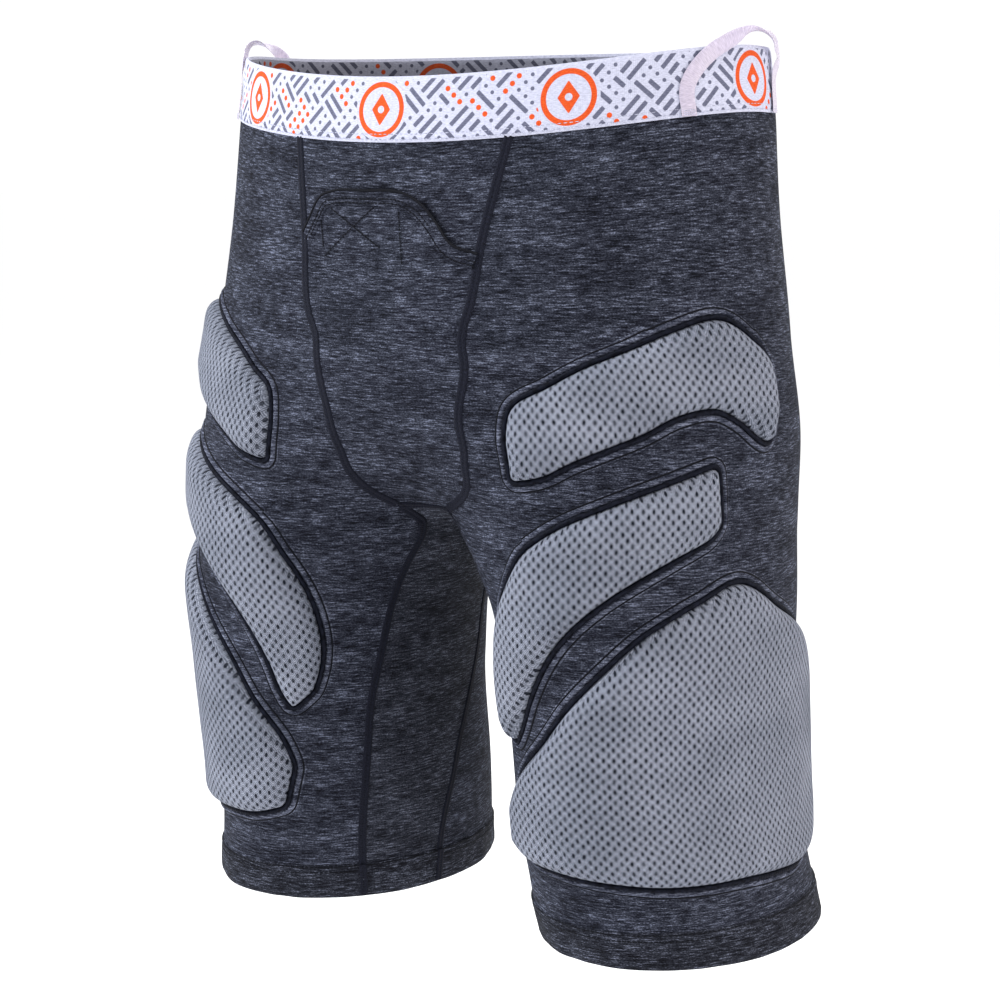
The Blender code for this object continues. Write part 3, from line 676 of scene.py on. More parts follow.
def heather(name, dark, light, contrast=1.0, spread=1.0):
    """Heathered knit: short level streaks of pale yarn through dark navy."""
    paint = Paint(name, roughness=0.9, specular=0.1)
    streaks = paint.noise(105, 1000, detail=4.0, roughness=0.75)
    patches = paint.noise(22, 90)
    fibres = paint.noise(800, 1500, roughness=0.6)
    value = streaks + (patches - 0.5) * (0.25 * contrast) + (fibres - 0.5) * 0.45
    middle = tuple(a * 0.6 + b * 0.4 for a, b in zip(dark, light))
    darkest, palest = scaled(dark, 0.35 / spread), scaled(light, 2.2 * spread)
    tones = ((0.30, darkest), (0.43, dark), (0.52, middle), (0.61, light), (0.74, palest))
    paint.set("Base Color", paint.ramp(value, *tones))
    across, up = paint.split(0.85 * MM, 1.1 * MM)
    paint.bump((paint.wave(across) * paint.wave(up) + value) * 0.5, 0.25 * MM, 0.6)
    return paint.material


def plain_knit(name, colour):
    """Fine even knit with a little yarn variation."""
    paint = Paint(name, roughness=0.9, specular=0.1)
    value = paint.noise(500, 900) * 0.7 + paint.noise(30, 40) * 0.3
    paint.set("Base Color", paint.ramp(value, (0.3, scaled(colour, 0.6)), (0.7, scaled(colour, 1.5))))
    across, up = paint.split(0.9 * MM, 1.2 * MM)
    paint.bump(paint.wave(across) * paint.wave(up), 0.2 * MM, 0.7)
    return paint.material


def thread(name, colour):
    """Twisted sewing thread laid side by side."""
    paint = Paint(name, roughness=0.75, specular=0.12)
    twist = paint.noise(700, 2400)
    paint.set("Base Color", paint.ramp(twist, (0.3, scaled(colour, 0.5)), (0.72, scaled(colour, 1.9))))
    across, up = paint.split(0.6 * MM, 1.2 * MM)
    paint.bump(paint.wave(across + up), 0.15 * MM, 0.6)
    return paint.material


def spacer_mesh(name):
    """Spacer mesh: staggered upright eyelets between raised knit ribs. The eyelets are painted near black as
    the shade inside them, and the rib tops and lumps are painted lighter as highlights.
    """
    paint = Paint(name, roughness=0.85, specular=0.15)
    across, up = paint.split(MESH_PITCH, MESH_ROW)
    across = across + (paint.noise(90, 90, detail=1.0) - 0.5) * 0.34
    shift = paint.math("FLOORED_MODULO", paint.math("FLOOR", up), 2.0) * 0.5
    beside_hole = paint.math("FRACT", across + shift) - 0.5
    above_hole = paint.math("FRACT", up) - 0.5
    wide = paint.math("POWER", paint.math("ABSOLUTE", beside_hole * (MESH_PITCH / HOLE_HALF_WIDTH)), 2.0)
    tall = paint.math("POWER", paint.math("ABSOLUTE", above_hole * (MESH_ROW / HOLE_HALF_HEIGHT)), 2.0)
    hole = 1.0 - paint.step(paint.math("SQRT", wide + tall), 0.72, 1.08)
    depth = paint.step(paint.noise(150, 230, detail=1.0), 0.32, 0.66)
    lean = paint.math("ABSOLUTE", beside_hole) * 5.0
    rib = paint.wave(up * 2.0 + lean)
    columns = paint.math("COSINE", across * (2 * math.pi))
    courses = paint.math("COSINE", (up - 0.5) * math.pi)
    swell = columns * courses
    # Rib tops and the lumps between the eyelets are raised in value: painted highlights.
    value = rib * 0.17 + paint.noise(900, 1500) * 0.6 + paint.noise(18, 24) * 0.3 + swell * 0.10
    shaded, middle, lit = (0.072, 0.082, 0.106), (0.170, 0.186, 0.240), (0.38, 0.40, 0.48)
    base = paint.ramp(value, (0.18, shaded), (0.45, middle), (0.80, lit))
    # The eyelets are painted near black, varying with depth: painted shade inside the holes.
    paint.set("Base Color", paint.mix(hole * (depth * 0.40 + 0.58), base, (0.008, 0.010, 0.018)))
    paint.bump(rib * 0.2 + swell * 0.25 - hole, 0.8 * MM, 0.9)
    return paint.material


def cord_cover(name):
    """Smooth black knit drawn round a cord, with slanting folds."""
    paint = Paint(name, roughness=0.7, specular=0.06)
    folds = paint.noise(260, 500)
    paint.set("Base Color", paint.ramp(folds, (0.3, (0.002, 0.0024, 0.005)), (0.7, (0.009, 0.0105, 0.019))))
    across, up = paint.split(2.6 * MM, 12 * MM)
    paint.bump(paint.wave(across + up) * 0.5 + folds, 0.3 * MM, 0.5)
    return paint.material


def jacquard(name, shade):
    """Woven elastic with a printed repeat. shade is 1 on the face and lower on the reverse, where the darker
    tone is painted shade on the band's inner face.
    """
    paint = Paint(name, roughness=0.8, specular=0.15)
    grain = paint.noise(420, 1900)

    def yarn(dark, light):
        return paint.ramp(grain, (0.3, scaled(dark, shade)), (0.7, scaled(light, shade)))

    def ink(key):
        distance = paint.node("ShaderNodeAttribute", None, "Fac", attribute_name=key)
        return 1.0 - paint.step(distance, -INK_BLUR, INK_BLUR)

    white = yarn((0.43, 0.44, 0.56), (0.59, 0.60, 0.74))
    grey = yarn((0.088, 0.092, 0.145), (0.150, 0.155, 0.225))
    orange = yarn((0.54, 0.058, 0.010), (0.72, 0.10, 0.018))
    paint.set("Base Color", paint.mix(ink("ink_orange"), paint.mix(ink("ink_grey"), white, grey), orange))
    across, up = paint.split(1.1 * MM, 0.75 * MM)
    paint.bump(paint.wave(across) * 0.5 + paint.wave(up) * 0.4, 0.2 * MM, 0.6)
    return paint.material


def satin(name):
    """White satin ribbon with a lilac cast and a fine weft."""
    paint = Paint(name, roughness=0.34, specular=0.5)
    paint.set("Sheen Weight", 0.3)
    paint.set("Subsurface Weight", 0.25)
    paint.set("Subsurface Radius", (0.004, 0.004, 0.005))
    paint.set("Subsurface Scale", 0.5)
    weft = paint.noise(2600, 260, detail=1.0)
    paint.set("Base Color", paint.ramp(weft, (0.3, (0.40, 0.35, 0.46)), (0.7, (0.58, 0.52, 0.64))))
    across, _ = paint.split(0.5 * MM, 1)
    paint.bump(paint.wave(across), 0.1 * MM, 0.4)
    return paint.material


def silicone(name):
    """Clear grey silicone printed as small dots on the hem's inner face."""
    paint = Paint(name, roughness=0.4, specular=0.5)
    across, up = paint.split(5 * MM, 5 * MM)
    a = paint.math("FRACT", across) - 0.5
    b = paint.math("FRACT", up) - 0.5
    dot = 1.0 - paint.step(paint.math("SQRT", a * a + b * b), 0.28, 0.36)
    paint.set("Base Color", paint.mix(dot, (0.03, 0.033, 0.045), (0.30, 0.31, 0.34)))
    paint.set("Roughness", 0.8 - dot * 0.45)
    paint.bump(dot, 0.6 * MM, 0.8)
    return paint.material


def floor_paint():
    paint = Paint("pale_floor", roughness=0.95, specular=0.1)
    tone = paint.node("ShaderNodeTexNoise", {"Scale": 0.4}, "Fac")
    paint.set("Base Color", paint.ramp(tone, (0.3, (0.95, 0.95, 0.955)), (0.7, (0.965, 0.965, 0.97))))
    return paint.material


SHELL = heather("heather_shell", (0.0095, 0.0108, 0.019), (0.045, 0.050, 0.071), spread=1.6)
REVERSE = heather("heather_reverse", (0.014, 0.015, 0.024), (0.038, 0.041, 0.056), 0.6)
GUSSET = heather("heather_gusset", (0.011, 0.0125, 0.020), (0.046, 0.050, 0.068), spread=1.5)
# The hem's heather is darker than the shell's: painted shade on the lower legs.
HEM_KNIT_SHADED = heather("heather_hem_shaded", (0.0070, 0.0078, 0.013), (0.031, 0.034, 0.047), spread=2.2)
# The raised border round each pad is coloured about twice as light as the shell: a painted highlight on the
# lip.
LIP_LIT = heather("heather_lip_lit", (0.021, 0.024, 0.040), (0.105, 0.115, 0.158))
SEAM = thread("seam_thread", (0.0066, 0.0075, 0.0145))
# Near-black thread: real stitching on the pouch and hems, and painted shade where it colours the pouch's
# rolled mouth edge and the pads' groove lines.
DARK_THREAD_AND_SHADE = thread("dark_thread_and_shade", (0.0032, 0.0036, 0.0065))
LINING = plain_knit("pocket_lining", (0.028, 0.030, 0.040))
MESH = spacer_mesh("spacer_mesh")
CORD = cord_cover("piping_cover")
BAND = jacquard("band_face", 1.0)
# The reverse is the same print at 0.42 brightness: painted shade on the inside of the band.
BAND_REVERSE_SHADED = jacquard("band_reverse", 0.42)
WHITE_THREAD = thread("white_thread", (0.40, 0.41, 0.52))
SATIN = satin("satin_ribbon")
GRIP = silicone("grip_dots")


# How each piece moves, and the part it stands for


def bend_with_leg(thing):
    """Bakes the piece's placement into its mesh; it is left unattached to any body."""
    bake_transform(thing)


def settle(thing, nodes=(), body=None):
    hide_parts(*nodes)
    if body:
        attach(thing, body)
    else:
        bend_with_leg(thing)
    return thing


# Shell, gusset and front


def shell_relief(side, turn, z):
    """Slight unevenness of cloth pulled over a form, with soft drag lines towards the crotch."""
    relief = 0.5 * MM * lattice_noise(turn / 34, z / 0.055, 3 + side)
    drag = 0.35 * MM * np.sin((z + 0.0011 * turn) / 0.0052)
    drag = drag * smooth(120, 60, turn) * smooth(-0.33, -0.285, z) * smooth(-0.20, -0.235, z)
    return relief * smooth(BAND_BOTTOM, -0.06, z) * smooth(HEM_TOP, -0.48, z) + drag


def add_body_cloth(side, prefix):
    share = np.linspace(0, 1, 170)[None, :]
    z = np.linspace(BAND_BOTTOM + 0.003, HEM_TOP - 0.002, 170)[:, None]
    start, finish = front_edge(side, z), back_edge(side, z)
    turn = start + (finish - start) * share
    z = np.broadcast_to(z, turn.shape)
    relief = shell_relief(side, turn, z) * smooth(0, 0.05, share) * smooth(1, 0.95, share)
    uv = cloth_uv(side, turn, z)
    cloth = add_sheet(f"{prefix}_body_cloth", side_chart(side), turn, z, relief, uv, [SHELL, REVERSE])
    nodes = [f"{prefix}_hip_panel", f"{prefix}_flex_zone", f"{prefix}_thigh_panel"]
    settle(cloth, nodes)


def add_gusset_cloth(side, prefix):
    """The inner leg, up to the centre plane between the legs."""
    edge = 90 - float(closing(POUCH_BOTTOM))

    def top(turn):
        return np.where(np.abs(turn) <= edge, np.minimum(saddle(turn), POUCH_BOTTOM), POUCH_BOTTOM)

    share = np.linspace(0, 1, 56)
    high = np.full(share.shape, POUCH_BOTTOM)
    for _ in range(60):
        start, finish = back_edge(side, high) - 360, front_edge(side, high)
        turn = start + (finish - start) * share
        high = 0.5 * high + 0.5 * top(turn)
    on_plane = np.abs(turn) <= edge + 0.3
    down = np.linspace(0, 1, 110)[:, None] ** 1.25
    z = high[None, :] + (HEM_TOP - 0.002 - high[None, :]) * down
    start, finish = back_edge(side, z) - 360, front_edge(side, z)
    turn = start + (finish - start) * share[None, :]
    outer = on_side(side, turn, z, 0.0)
    inner = on_side(side, turn, z, -CLOTH)
    for layer in (outer, inner):
        layer[0, :, 0] = np.where(on_plane, 0.0, layer[0, :, 0])
    uv = cloth_uv(side, turn, z)
    cloth = add_shell(f"{prefix}_gusset_cloth", outer, inner, uv, [GUSSET, REVERSE])
    crotch = ["crotch_gusset"] if side > 0 else []
    settle(cloth, [f"{prefix}_inner_thigh_gusset"] + crotch)


def pouch_top(across):
    return through(POUCH_TOP_ACROSS, POUCH_TOP, across)


def add_front_sheet(name, across, z, out, thickness, materials, slot, node):
    uv = front_uv(across, z)
    sheet = add_sheet(name, front_chart, across, z, out, uv, materials, thickness)
    settle(sheet, [node], "waist")


def add_front():
    """The front top panel, the pouch over it, the pouch's folded mouth and stitching, and the cup pocket."""
    row = np.linspace(-1, 1, 90)[None, :]
    mouth = pouch_top(row)
    cloth = [SHELL, REVERSE]

    upper = BAND_BOTTOM + 0.003
    z = upper + (mouth - 0.016 - upper) * np.linspace(0, 1, 30)[:, None]
    across = np.broadcast_to(row, z.shape)
    tucked = -1.7 * MM * smooth(mouth + 0.006, mouth - 0.002, z)
    add_front_sheet("front_top_cloth", across, z, tucked, CLOTH, cloth, "shell_knit", "front_top_panel")

    z = mouth + (POUCH_BOTTOM - mouth) * np.linspace(0, 1, 110)[:, None]
    across = np.broadcast_to(row, z.shape)
    relief = 0.35 * MM * lattice_noise(across * 3, z / 0.03, 9) * (1 - across ** 4)
    relief = relief + 0.5 * MM * smooth(mouth - 0.02, mouth, z)
    add_front_sheet("pouch_cloth", across, z, relief, CLOTH, cloth, "shell_knit", "pouch_panel")

    add_pouch_mouth(evenly(front_chart, pair(row[0], mouth[0]) * [0.985, 1], 0.8 * MM))
    tracks = [np.linspace(start, end, 12) for start, end in POUCH_STITCHING]
    size = (2.2, 1.0, 0.5)
    add_stitches("pouch_box_stitching", raised(front_chart, 0.55 * MM), tracks, 2.4, size, DARK_THREAD_AND_SHADE, "waist")

    across = np.broadcast_to(np.linspace(-0.88, 0.88, 60)[None, :], (60, 60))
    mouth = pouch_top(across)
    z = mouth - 0.012 + (POCKET_BOTTOM - mouth + 0.012) * np.linspace(0, 1, 60)[:, None]
    looks = ([LINING], "pocket_lining", "cup_pocket_lining")
    add_front_sheet("cup_pocket_lining_cloth", across, z, -3.4 * MM, 0.8 * MM, *looks)


def add_pouch_mouth(line):
    """The folded hem along the pouch's mouth, its rolled edge coloured near black as painted shade under the
    fold, and its two rows of stitches.
    """
    slopes = beside(front_chart, line)
    aside = np.array([-0.9, -0.5, 0.4, 2, 4, 6, 7.4, 8.0, 8.2, 7.4, 4, 1, -0.5]) * MM
    above = np.array([0.6, 1.4, 1.75, 1.5, 1.45, 1.45, 1.35, 1.0, 0.2, -0.2, -0.2, -0.6, -0.6]) * MM
    gape = 1.6 * MM * np.exp(-(((line[:, :1] - 0.66) / 0.20) ** 2)) * smooth(7.0 * MM, 0, aside)
    hem = sweep_on("pouch_mouth_hem", front_chart, line, aside, above + gape, [SHELL], slopes=slopes)
    reuse_uv(hem, line, slopes, aside, front_uv)
    aside, above = circle(0.85 * MM, 10, -1.1 * MM, 1.25 * MM)
    above = above + gape[:, :1]
    # The rolled edge is coloured near black: painted shade along the fold of the mouth.
    roll = sweep_on("pouch_mouth_roll", front_chart, line, aside, above, [DARK_THREAD_AND_SHADE], slopes=slopes)
    settle(roll, [], "waist")
    settle(hem, ["pouch_edge_binding"], "waist")
    rows = [line + slopes * 3.9 * MM, line + slopes * 6.4 * MM]
    size = (2.5, 0.9, 0.5)
    add_stitches("pouch_mouth_stitching", raised(front_chart, 1.62 * MM), rows, 2.8, size, DARK_THREAD_AND_SHADE, "waist")


# Seams


def add_flatlock(name, chart, across, z, nodes=(), body=None):
    """A raised seam of thread laid in slanting rows either side of a middle groove."""
    line = evenly(chart, pair(across, z), 0.5 * MM)
    along = run_length(chart(line[:, 0], line[:, 1], 0.0))[:, None]
    share = np.array([-1, -0.93, -0.7, -0.45, -0.2, 0, 0.2, 0.45, 0.7, 0.93, 1, 0.5, -0.5])
    lift = np.array([0.0, 0.55, 0.9, 1, 0.85, 0.55, 0.85, 1, 0.9, 0.55, 0, -0.5, -0.5])
    slant = np.abs(share) * 0.8
    rows = 0.16 * MM * np.cos(2 * math.pi * (along / THREAD_PITCH + slant[None, :])) * (lift > 0.5)
    seam = sweep_on(name, chart, line, share * SEAM_WIDTH / 2, lift * SEAM_HEIGHT + rows, [SEAM])
    settle(seam, nodes, body)


def add_body_seams():
    z = BAND_BOTTOM + 0.001 + (POUCH_BOTTOM - BAND_BOTTOM) * (1 - (1 - np.linspace(0, 1, 160)) ** 1.5)
    for side, prefix in SIDES:
        edge = front_edge(side, z)
        node = f"{prefix}_front_seam"
        add_flatlock(f"{prefix}_front_flatlock", side_chart(side), edge, z, [node], "waist")
    z = np.append(z, np.linspace(z[-1] - 0.0003, POUCH_BOTTOM - 0.005, 12))
    add_flatlock("centre_back_flatlock", back_chart, 0.0, z, ["centre_back_seam"], "waist")


def add_inseams(side, prefix):
    """The two inseams of a leg, and how they run on over the hem."""
    chart = side_chart(side)
    z = np.linspace(POUCH_BOTTOM - 0.001, HEM_TOP - 0.001, 160)
    low = np.linspace(HEM_TOP + 0.001, HEM + 0.0015, 30)
    for end, edge in (("front", front_edge), ("back", back_edge)):
        name = f"{prefix}_{end}"
        add_flatlock(f"{name}_inseam_flatlock", chart, edge(side, z), z, [f"{name}_inseam"])
        over_hem = raised(chart, 1.25 * MM)
        add_flatlock(f"{name}_hem_flatlock", over_hem, edge(side, low), low, body=f"{prefix}_leg")


def add_crotch_seam():
    across = np.linspace(-0.99, 0.99, 60)
    add_flatlock("crotch_front_flatlock", front_chart, across, POUCH_BOTTOM, body="waist")


# Waistband


def box_distance(x, y, half_x, half_y):
    dx, dy = np.abs(x) - half_x, np.abs(y) - half_y
    return np.hypot(np.maximum(dx, 0), np.maximum(dy, 0)) + np.minimum(np.maximum(dx, dy), 0)


def cell_choice(a, b, k, seed):
    """A number from 0 to 1 for line k of lattice cell (a, b)."""
    value = np.sin(a * 91.7 + b * 37.3 + k * 59.1 + seed) * 9173.31
    return value - np.floor(value)


def band_print(s, v, perimeter):
    """Distances, in metres and negative inside, to the grey marks and to the orange marks of the print."""
    step = perimeter / LATTICE_STEPS
    cell = step * math.sqrt(2)
    p, q = (s + v) / step / 2 + 500, (v - s) / step / 2 + 500
    a, b = np.floor(p / 3), np.floor(q / 3)
    diagonal, level = np.mod(a - b, LATTICE_STEPS / 3), a + b
    upright = np.mod(level, 2) == 0
    local = np.where(upright, p - 3 * a, q - 3 * b)
    line = np.where(upright, q - 3 * b, p - 3 * a)
    k = np.clip(np.floor(line), 0, 2)
    off_line = (line - k - 0.5) * cell
    kind = cell_choice(diagonal, level, k, 1.7)
    ahead = cell_choice(diagonal, level, k, 8.3) > 0.5
    nearest = (local - np.clip(np.floor(local), 0, 2) - 0.5) * cell
    dot = np.hypot(nearest, off_line)
    full = box_distance((local - 1.5) * cell, off_line, 1.28 * cell, STROKE_HALF_WIDTH)
    middle = np.where(ahead, 1.0, 2.0)
    short = box_distance((local - middle) * cell, off_line, 0.72 * cell, STROKE_HALF_WIDTH)
    lone = np.where(ahead, local > 2, local < 1)
    far = np.full(s.shape, 0.01)
    grey = np.select(
        [kind < 0.48, kind < 0.72, kind < 0.89],
        [full, np.minimum(short, np.where(lone, dot - GREY_DOT, far)), dot - GREY_DOT],
        far,
    )
    orange = np.where(kind >= 0.89, dot - ORANGE_DOT, far)
    period = perimeter / RINGS
    across = np.mod(s - RING_OFFSET + period / 2, period) - period / 2
    up = v - (BAND_BOTTOM / 2)
    reach = np.hypot(across, up)
    clear = RING_RADIUS + RING_HALF_STROKE + RING_MARGIN - reach
    ring = np.abs(reach - RING_RADIUS) - RING_HALF_STROKE
    diamond = (np.abs(across) / (6.5 * MM) + np.abs(up) / (9.5 * MM) - 1) * 5.0 * MM
    mark = np.maximum(diamond, 2.2 * MM - reach)
    border = 1.5 * MM - np.minimum(-v, v - BAND_BOTTOM)
    dots = np.maximum.reduce([orange, clear, border])
    return np.maximum.reduce([grey, clear, border]), np.minimum.reduce([dots, ring, mark])


def add_band(name, top, bottom, out, thickness, material, slot, node):
    """A woven band right round the waist, printed on both faces. A negative thickness faces the body."""
    angle = np.linspace(0, 360, BAND_COLUMNS, endpoint=False)
    middle = ring_chart(angle, BAND_BOTTOM / 2, 0.0)
    arc = run_length(np.vstack([middle, middle[:1]]))
    s = np.arange(BAND_COLUMNS + 1) * arc[-1] / BAND_COLUMNS
    even = np.interp(s[:-1], arc, np.append(angle, 360))[None, :]
    v = np.linspace(top, bottom, BAND_ROWS)[:, None]
    from_middle = np.abs(2 * (v - top) / (bottom - top) - 1)
    round_off = math.copysign(0.7 * MM, thickness) * from_middle ** 14
    scallop = 0.12 * MM * np.sin(s[None, :-1] / 0.0023) * smooth(0.8, 1, from_middle)
    outer = ring_chart(even, v, out - round_off + scallop)
    inner = ring_chart(even, v, out - thickness + round_off * 0.6)
    grey, orange = band_print(*np.broadcast_arrays(s[None, :-1], v), arc[-1])
    uv = pair(s[None, :], v)
    inks = {"ink_grey": grey, "ink_orange": orange}
    band = add_shell(name, outer, inner, uv, [material], closed=True, floats=inks)
    settle(band, [node], "waist")


def add_waistband():
    face = (0.4 * MM, BAND_BOTTOM, 1.1 * MM, 2.4 * MM, BAND, "waistband_jacquard", "waistband")
    add_band("waistband_woven", *face)
    backing = "waistband_backing"
    reverse = (-1.2 * MM, -36.8 * MM, -2.5 * MM, -1.0 * MM, BAND_REVERSE_SHADED, backing, backing)
    add_band("waistband_reverse", *reverse)
    angle = np.linspace(0, 359.6, 720)
    tracks = [pair(angle, BAND_BOTTOM + up) for up in (0.0016, 0.0046)]
    size = (2.5, 0.45, 0.3)
    chart = raised(ring_chart, 1.15 * MM)
    add_stitches("waistband_stitching", chart, tracks, 3.4, size, WHITE_THREAD, "waist")


# Hems


def add_hem(side, prefix):
    turn = np.linspace(0, 360, 420, endpoint=False)
    profile = np.array(HEM_PROFILE) * MM
    z, out = HEM_TOP - profile[None, :, 0], profile[None, :, 1]
    spot = turn[:, None]
    a = spot / 360 * 26
    crease = lattice_noise(a, z / 0.02 + 50, 5 + side) + 0.6 * lattice_noise(2.3 * a, z / 0.01, 8)
    seamless = smooth(0, 12, spot) * smooth(360, 348, spot)
    wrinkle = 0.75 * MM * crease * seamless * smooth(HEM_TOP, -0.510, z)
    rings = on_side(side, spot, z, out + wrinkle)
    rings[:, :, 2] = np.maximum(rings[:, :, 2], HEM - 0.0006)
    girth = np.append(run_length(profile), run_length(profile)[-1] + 0.001)
    round_hem = side * around(np.append(turn, 360.0), -0.514)
    uv = pair(round_hem[:, None], -girth[None, :]).reshape(-1, 2)
    quads = grid_quads(len(turn), len(profile), True, True)
    corners = grid_quads(len(turn) + 1, len(girth))
    # The hem knit is coloured darker than the shell as painted shade.
    hem = add_solid(f"{prefix}_hem_cloth", rings.reshape(-1, 3), quads, corners, uv, [HEM_KNIT_SHADED])
    settle(hem, [f"{prefix}_hem_band"], f"{prefix}_leg")

    chart = side_chart(side)
    angle = np.linspace(0.5, 359.5, 400)
    tracks = [pair(angle, HEM_TOP - down) for down in (-0.0004, 0.0036)]
    size = (2.9, 0.9, 0.5)
    lifted = raised(chart, 1.15 * MM)
    add_stitches(f"{prefix}_hem_stitching", lifted, tracks, 3.2, size, DARK_THREAD_AND_SHADE, f"{prefix}_leg")

    z = np.linspace(HEM_TOP - 0.004, HEM + 0.003, 8)[:, None]
    spot = turn[None, ::2]
    uv = cloth_uv(side, np.append(spot[0], 360.0)[None, :], z)
    grip = add_sheet(f"{prefix}_hem_grip", chart, spot, z, -2.6 * MM, uv, [GRIP], -0.9 * MM, closed=True)
    settle(grip, [f"{prefix}_hem_gripper"], f"{prefix}_leg")


# Pads


def rung_edges(rungs, count):
    """The upper and lower edges of a pad through its rungs, each (count, 2)."""
    marks = np.linspace(0, 1, len(rungs))
    at = np.linspace(0, 1, count)
    table = np.array(rungs) * [1, MM, 1, MM]
    lines = [through(marks, column, at) for column in table.T]
    return pair(*lines[:2]), pair(*lines[2:])


def pad_edges(rungs, chart):
    """A pad's four edges with its corners rounded: upper, far end, lower and near end, as one closed line."""
    upper, lower = rung_edges(rungs, 400)
    far, near = np.linspace(upper[-1], lower[-1], 60), np.linspace(lower[0], upper[0], 60)
    parts = [evenly(chart, part, EDGE_SPACING)[:-1] for part in (upper, far, lower[::-1], near)]
    corners = np.cumsum([0] + [len(part) for part in parts])
    line = np.vstack(parts)
    for _ in range(60):
        line = (np.roll(line, 1, axis=0) + 2 * line + np.roll(line, -1, axis=0)) / 4
    return line, corners


def coons(line, corners, columns, rows):
    """Places inside a closed line, blended between the four edges that the corners part it into."""
    closed = np.vstack([line, line[:1]])

    def edge(k, count):
        part = closed[corners[k]:corners[k + 1] + 1]
        at = np.linspace(0, len(part) - 1, count)
        return pair(*(np.interp(at, np.arange(len(part)), part[:, c]) for c in (0, 1)))

    upper, lower = edge(0, columns), edge(2, columns)[::-1]
    far, near = edge(1, rows), edge(3, rows)[::-1]
    a = np.linspace(0, 1, columns)[None, :, None]
    b = np.linspace(0, 1, rows)[:, None, None]
    edges = (1 - b) * upper[None] + b * lower[None] + (1 - a) * near[:, None] + a * far[:, None]
    flat = (1 - b) * ((1 - a) * upper[0] + a * upper[-1]) + b * ((1 - a) * lower[0] + a * lower[-1])
    return edges - flat


def distance_to(points, line_points):
    tree = KDTree(len(line_points))
    for index, point in enumerate(line_points):
        tree.insert(point, index)
    tree.balance()
    return np.array([tree.find(point)[2] for point in points.reshape(-1, 3)]).reshape(points.shape[:-1])


def pad_height(distance):
    """Height of a pad by the distance in from its edge: steep at first, then level."""
    t = np.clip(distance / PAD_BEVEL, 0, 1)
    return PAD_HEIGHT * (1 - (1 - t) ** 2.6) ** 0.62


def add_cover(name, chart, uv_of, line, corners, spacing):
    """A pad's crowned cover of spacer mesh, inside its edge line."""
    points = chart(line[:, 0], line[:, 1], 0.0)
    columns = int((corners[1] - corners[0]) * EDGE_SPACING / spacing)
    upper, lower = points[corners[1] // 2], points[(corners[2] + corners[3]) // 2]
    rows = int(np.linalg.norm(upper - lower) / spacing)
    places = coons(line, corners, columns, rows)
    a, z = places[..., 0], places[..., 1]
    inward = np.zeros((rows, columns))
    inward[1:-1, 1:-1] = distance_to(chart(a, z, 0.0)[1:-1, 1:-1], points)
    swell = 0.25 * MM * lattice_noise(a / 7, z / 0.02, len(name)) * smooth(4 * MM, 16 * MM, inward)
    outer = chart(a, z, PAD_FOOT + pad_height(inward) + swell)
    cover = add_shell(f"{name}_cover", outer, chart(a, z, PAD_UNDERSIDE), uv_of(a, z), [MESH])
    return cover


def add_pad(name, rungs, chart, uv_of, spacing, body=None):
    """A pad's cover, the piping at its foot, the raised border round it, and a dark thread line at the
    border's outer foot: partly stitching, partly painted shade of the groove there.
    """
    line, corners = pad_edges(rungs, chart)
    cover = add_cover(name, chart, uv_of, line, corners, spacing)
    settle(cover, [f"{name}_foam", f"{name}_mesh"], body)

    line = evenly(chart, line, 1.0 * MM, closed=True)
    slopes = beside(chart, line, closed=True)
    if np.sum(slopes * (line - line.mean(axis=0))) < 0:
        slopes = -slopes
    trims = (
        ("cord", circle(CORD_RADIUS, 12, CORD_REACH, CORD_RADIUS), CORD, "pad_piping", [f"{name}_piping"]),
        # The border's lighter heather is a painted highlight on the raised lip.
        ("border", np.array(BORDER).T * MM, LIP_LIT, "shell_knit", []),
        # A near-black thread line in the groove: partly stitching, partly painted shade.
        ("stitch_and_groove_shade", circle(GROOVE_LINE_RADIUS, 8, GROOVE_LINE_REACH, GROOVE_LINE_RADIUS / 2), DARK_THREAD_AND_SHADE, "seam_thread", []),
    )
    for trim, (aside, above), material, slot, nodes in trims:
        made = sweep_on(f"{name}_{trim}", chart, line, aside, above, [material], True, slopes)
        if trim == "border":
            reuse_uv(made, line, slopes, aside, uv_of)
        settle(made, nodes, body)


def reuse_uv(thing, line, slopes, aside, uv_of):
    """Gives a swept border the cloth's own (u, v), so that its knit runs on from the cloth beside it."""
    uv = uv_of(line[:, :1] + slopes[:, :1] * aside, line[:, 1:] + slopes[:, 1:] * aside).reshape(-1, 2)
    mesh = thing.data
    vertices = np.zeros(len(mesh.loops), np.int32)
    mesh.loops.foreach_get("vertex_index", vertices)
    mesh.uv_layers["cloth"].uv.foreach_set("vector", uv[vertices].astype(np.float32).ravel())


# Loops


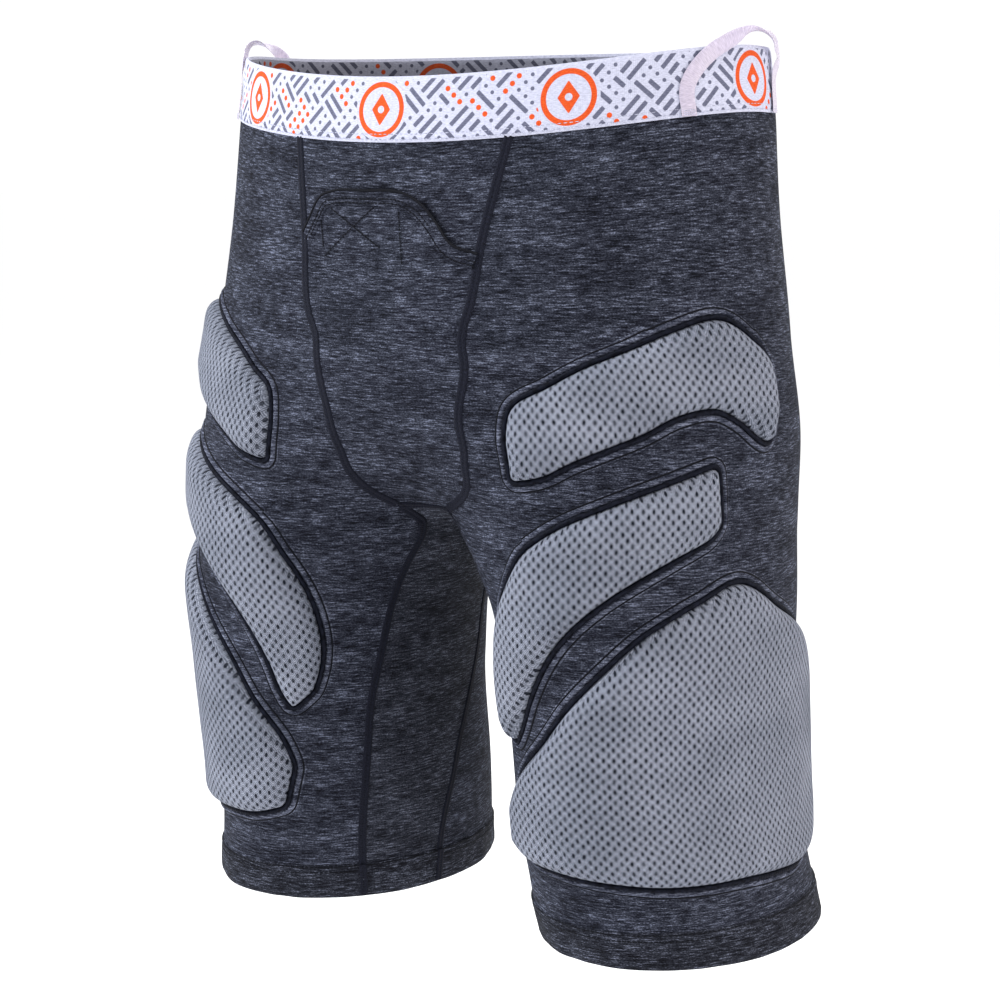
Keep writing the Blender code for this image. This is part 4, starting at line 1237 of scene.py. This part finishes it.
def add_loop(side, prefix):
    """A satin ribbon with a half twist, sewn to the waistband's lower edge at both ends."""
    share = np.linspace(0, 1, 121)
    turn, z, out = (through(LOOP_SHARE, values, share) for values in (LOOP_TURN, LOOP_Z, LOOP_OUT))
    chart = side_chart(side)
    off_skin = outward(chart, turn, z)
    centre = chart(turn, z, 0.0) + off_skin * (RIBBON_OUT + out)[:, None]
    for _ in range(6):
        centre[1:-1] = (centre[:-2] + 2 * centre[1:-1] + centre[2:]) / 4
    path = unit(np.gradient(centre, axis=0))
    flat = unit(np.cross(off_skin, path))
    turned = np.clip((share - TWIST_START) / (TWIST_END - TWIST_START), 0, 1)
    twist = math.pi * (1 - np.cos(math.pi * turned)) / 2
    wide = flat * np.cos(twist)[:, None] + np.cross(path, flat) * np.sin(twist)[:, None]
    thick = np.cross(wide, path)
    ring = np.linspace(0, 2 * math.pi, 16, endpoint=False)
    width = np.sign(np.cos(ring)) * np.abs(np.cos(ring)) ** 0.45 * RIBBON_WIDTH / 2
    depth = np.sign(np.sin(ring)) * np.abs(np.sin(ring)) ** 0.8 * RIBBON_THICKNESS / 2
    curl = 0.25 * MM * (width / (RIBBON_WIDTH / 2)) ** 2
    rings = centre[:, None, :] + wide[:, None, :] * width[None, :, None]
    rings = rings + thick[:, None, :] * (depth + curl)[None, :, None]
    loop = add_sweep(f"{prefix}_ribbon_loop", rings, run_length(centre), [SATIN])
    settle(loop, [f"{prefix}_hanger_loop"], f"{prefix}_loop")

    tracks = []
    for at in (LOOP_FRONT_TURN, LOOP_BACK_TURN):
        for up in (1.0 * MM, 2.2 * MM, 3.4 * MM):
            turns = np.linspace(at - TACK_HALF_TURN, at + TACK_HALF_TURN, 8)
            tracks.append(pair(turns, BAND_BOTTOM + up))
    size = (1.0, 0.5, 0.4)
    on_ribbon = raised(chart, RIBBON_OUT + RIBBON_THICKNESS / 2)
    add_stitches(f"{prefix}_loop_bartack", on_ribbon, tracks, 1.1, size, WHITE_THREAD, f"{prefix}_loop")


# Stage


def place_in_scene(name, data, location=(0, 0, 0)):
    thing = bpy.data.objects.new(name, data)
    thing.location = location
    bpy.context.scene.collection.objects.link(thing)
    return thing


def add_area_light(name, place, size, power, colour=(1, 1, 1)):
    light = bpy.data.lights.new(name, "AREA")
    light.shape = "DISK"
    light.size = size
    light.energy = power
    light.color = colour
    towards = Vector(LIGHT_TARGET) - Vector(place)
    place_in_scene(name, light, place).rotation_euler = towards.to_track_quat("-Z", "Y").to_euler()


def add_stage():
    """A wide pale floor, a white surround and four soft lights."""
    mesh = bpy.data.meshes.new("floor")
    corners = [(x * FLOOR_HALF, y * FLOOR_HALF, FLOOR_Z) for x, y in ((-1, -1), (1, -1), (1, 1), (-1, 1))]
    mesh.from_pydata(corners, [], [(0, 1, 2, 3)])
    mesh.materials.append(floor_paint())
    place_in_scene("floor", mesh)
    world = bpy.data.worlds.new("studio")
    world.use_nodes = True
    background = world.node_tree.nodes["Background"]
    background.inputs["Color"].default_value = (1.0, 1.0, 1.0, 1)
    background.inputs["Strength"].default_value = 1.05
    bpy.context.scene.world = world
    add_area_light("key", (-2.3, -1.5, 1.8), 1.2, 100, (0.93, 0.97, 1.0))
    add_area_light("front", (-0.2, -2.6, 2.2), 1.2, 22)
    add_area_light("side", (2.7, 0.7, 0.9), 1.2, 34, (1.0, 0.92, 0.84))
    add_area_light("back", (-0.4, 2.6, 1.6), 1.6, 24)
    bpy.context.scene.view_settings.view_transform = "Standard"


def add_camera():
    camera = place_in_scene("camera", bpy.data.cameras.new("camera"), (0.7652, -1.2098, -0.0635))
    camera.data.lens = 81.74
    camera.data.sensor_width = 36
    camera.rotation_euler = [math.radians(angle) for angle in (82.171, -0.703, 31.863)]
    bpy.context.scene.camera = camera


def add_side(side, prefix):
    add_body_cloth(side, prefix)
    add_gusset_cloth(side, prefix)
    add_inseams(side, prefix)
    add_hem(side, prefix)
    add_loop(side, prefix)
    chart, uv_of, spacing = pad_chart(side), worn_uv(side), 1.1 * MM
    add_pad(f"{prefix}_hip_pad", HIP_PAD, chart, uv_of, spacing)
    add_pad(f"{prefix}_mid_pad", MID_PAD, chart, uv_of, spacing)
    add_pad(f"{prefix}_thigh_pad", THIGH_PAD, chart, uv_of, spacing, f"{prefix}_leg")


add_camera()
add_stage()
add_front()
add_body_seams()
add_crotch_seam()
add_waistband()
add_pad("tailbone_pad", TAIL_PAD, raised(back_chart, CLOTH), back_uv, 1.2 * MM, "waist")
for wearer_side, wearer_prefix in SIDES:
    add_side(wearer_side, wearer_prefix)
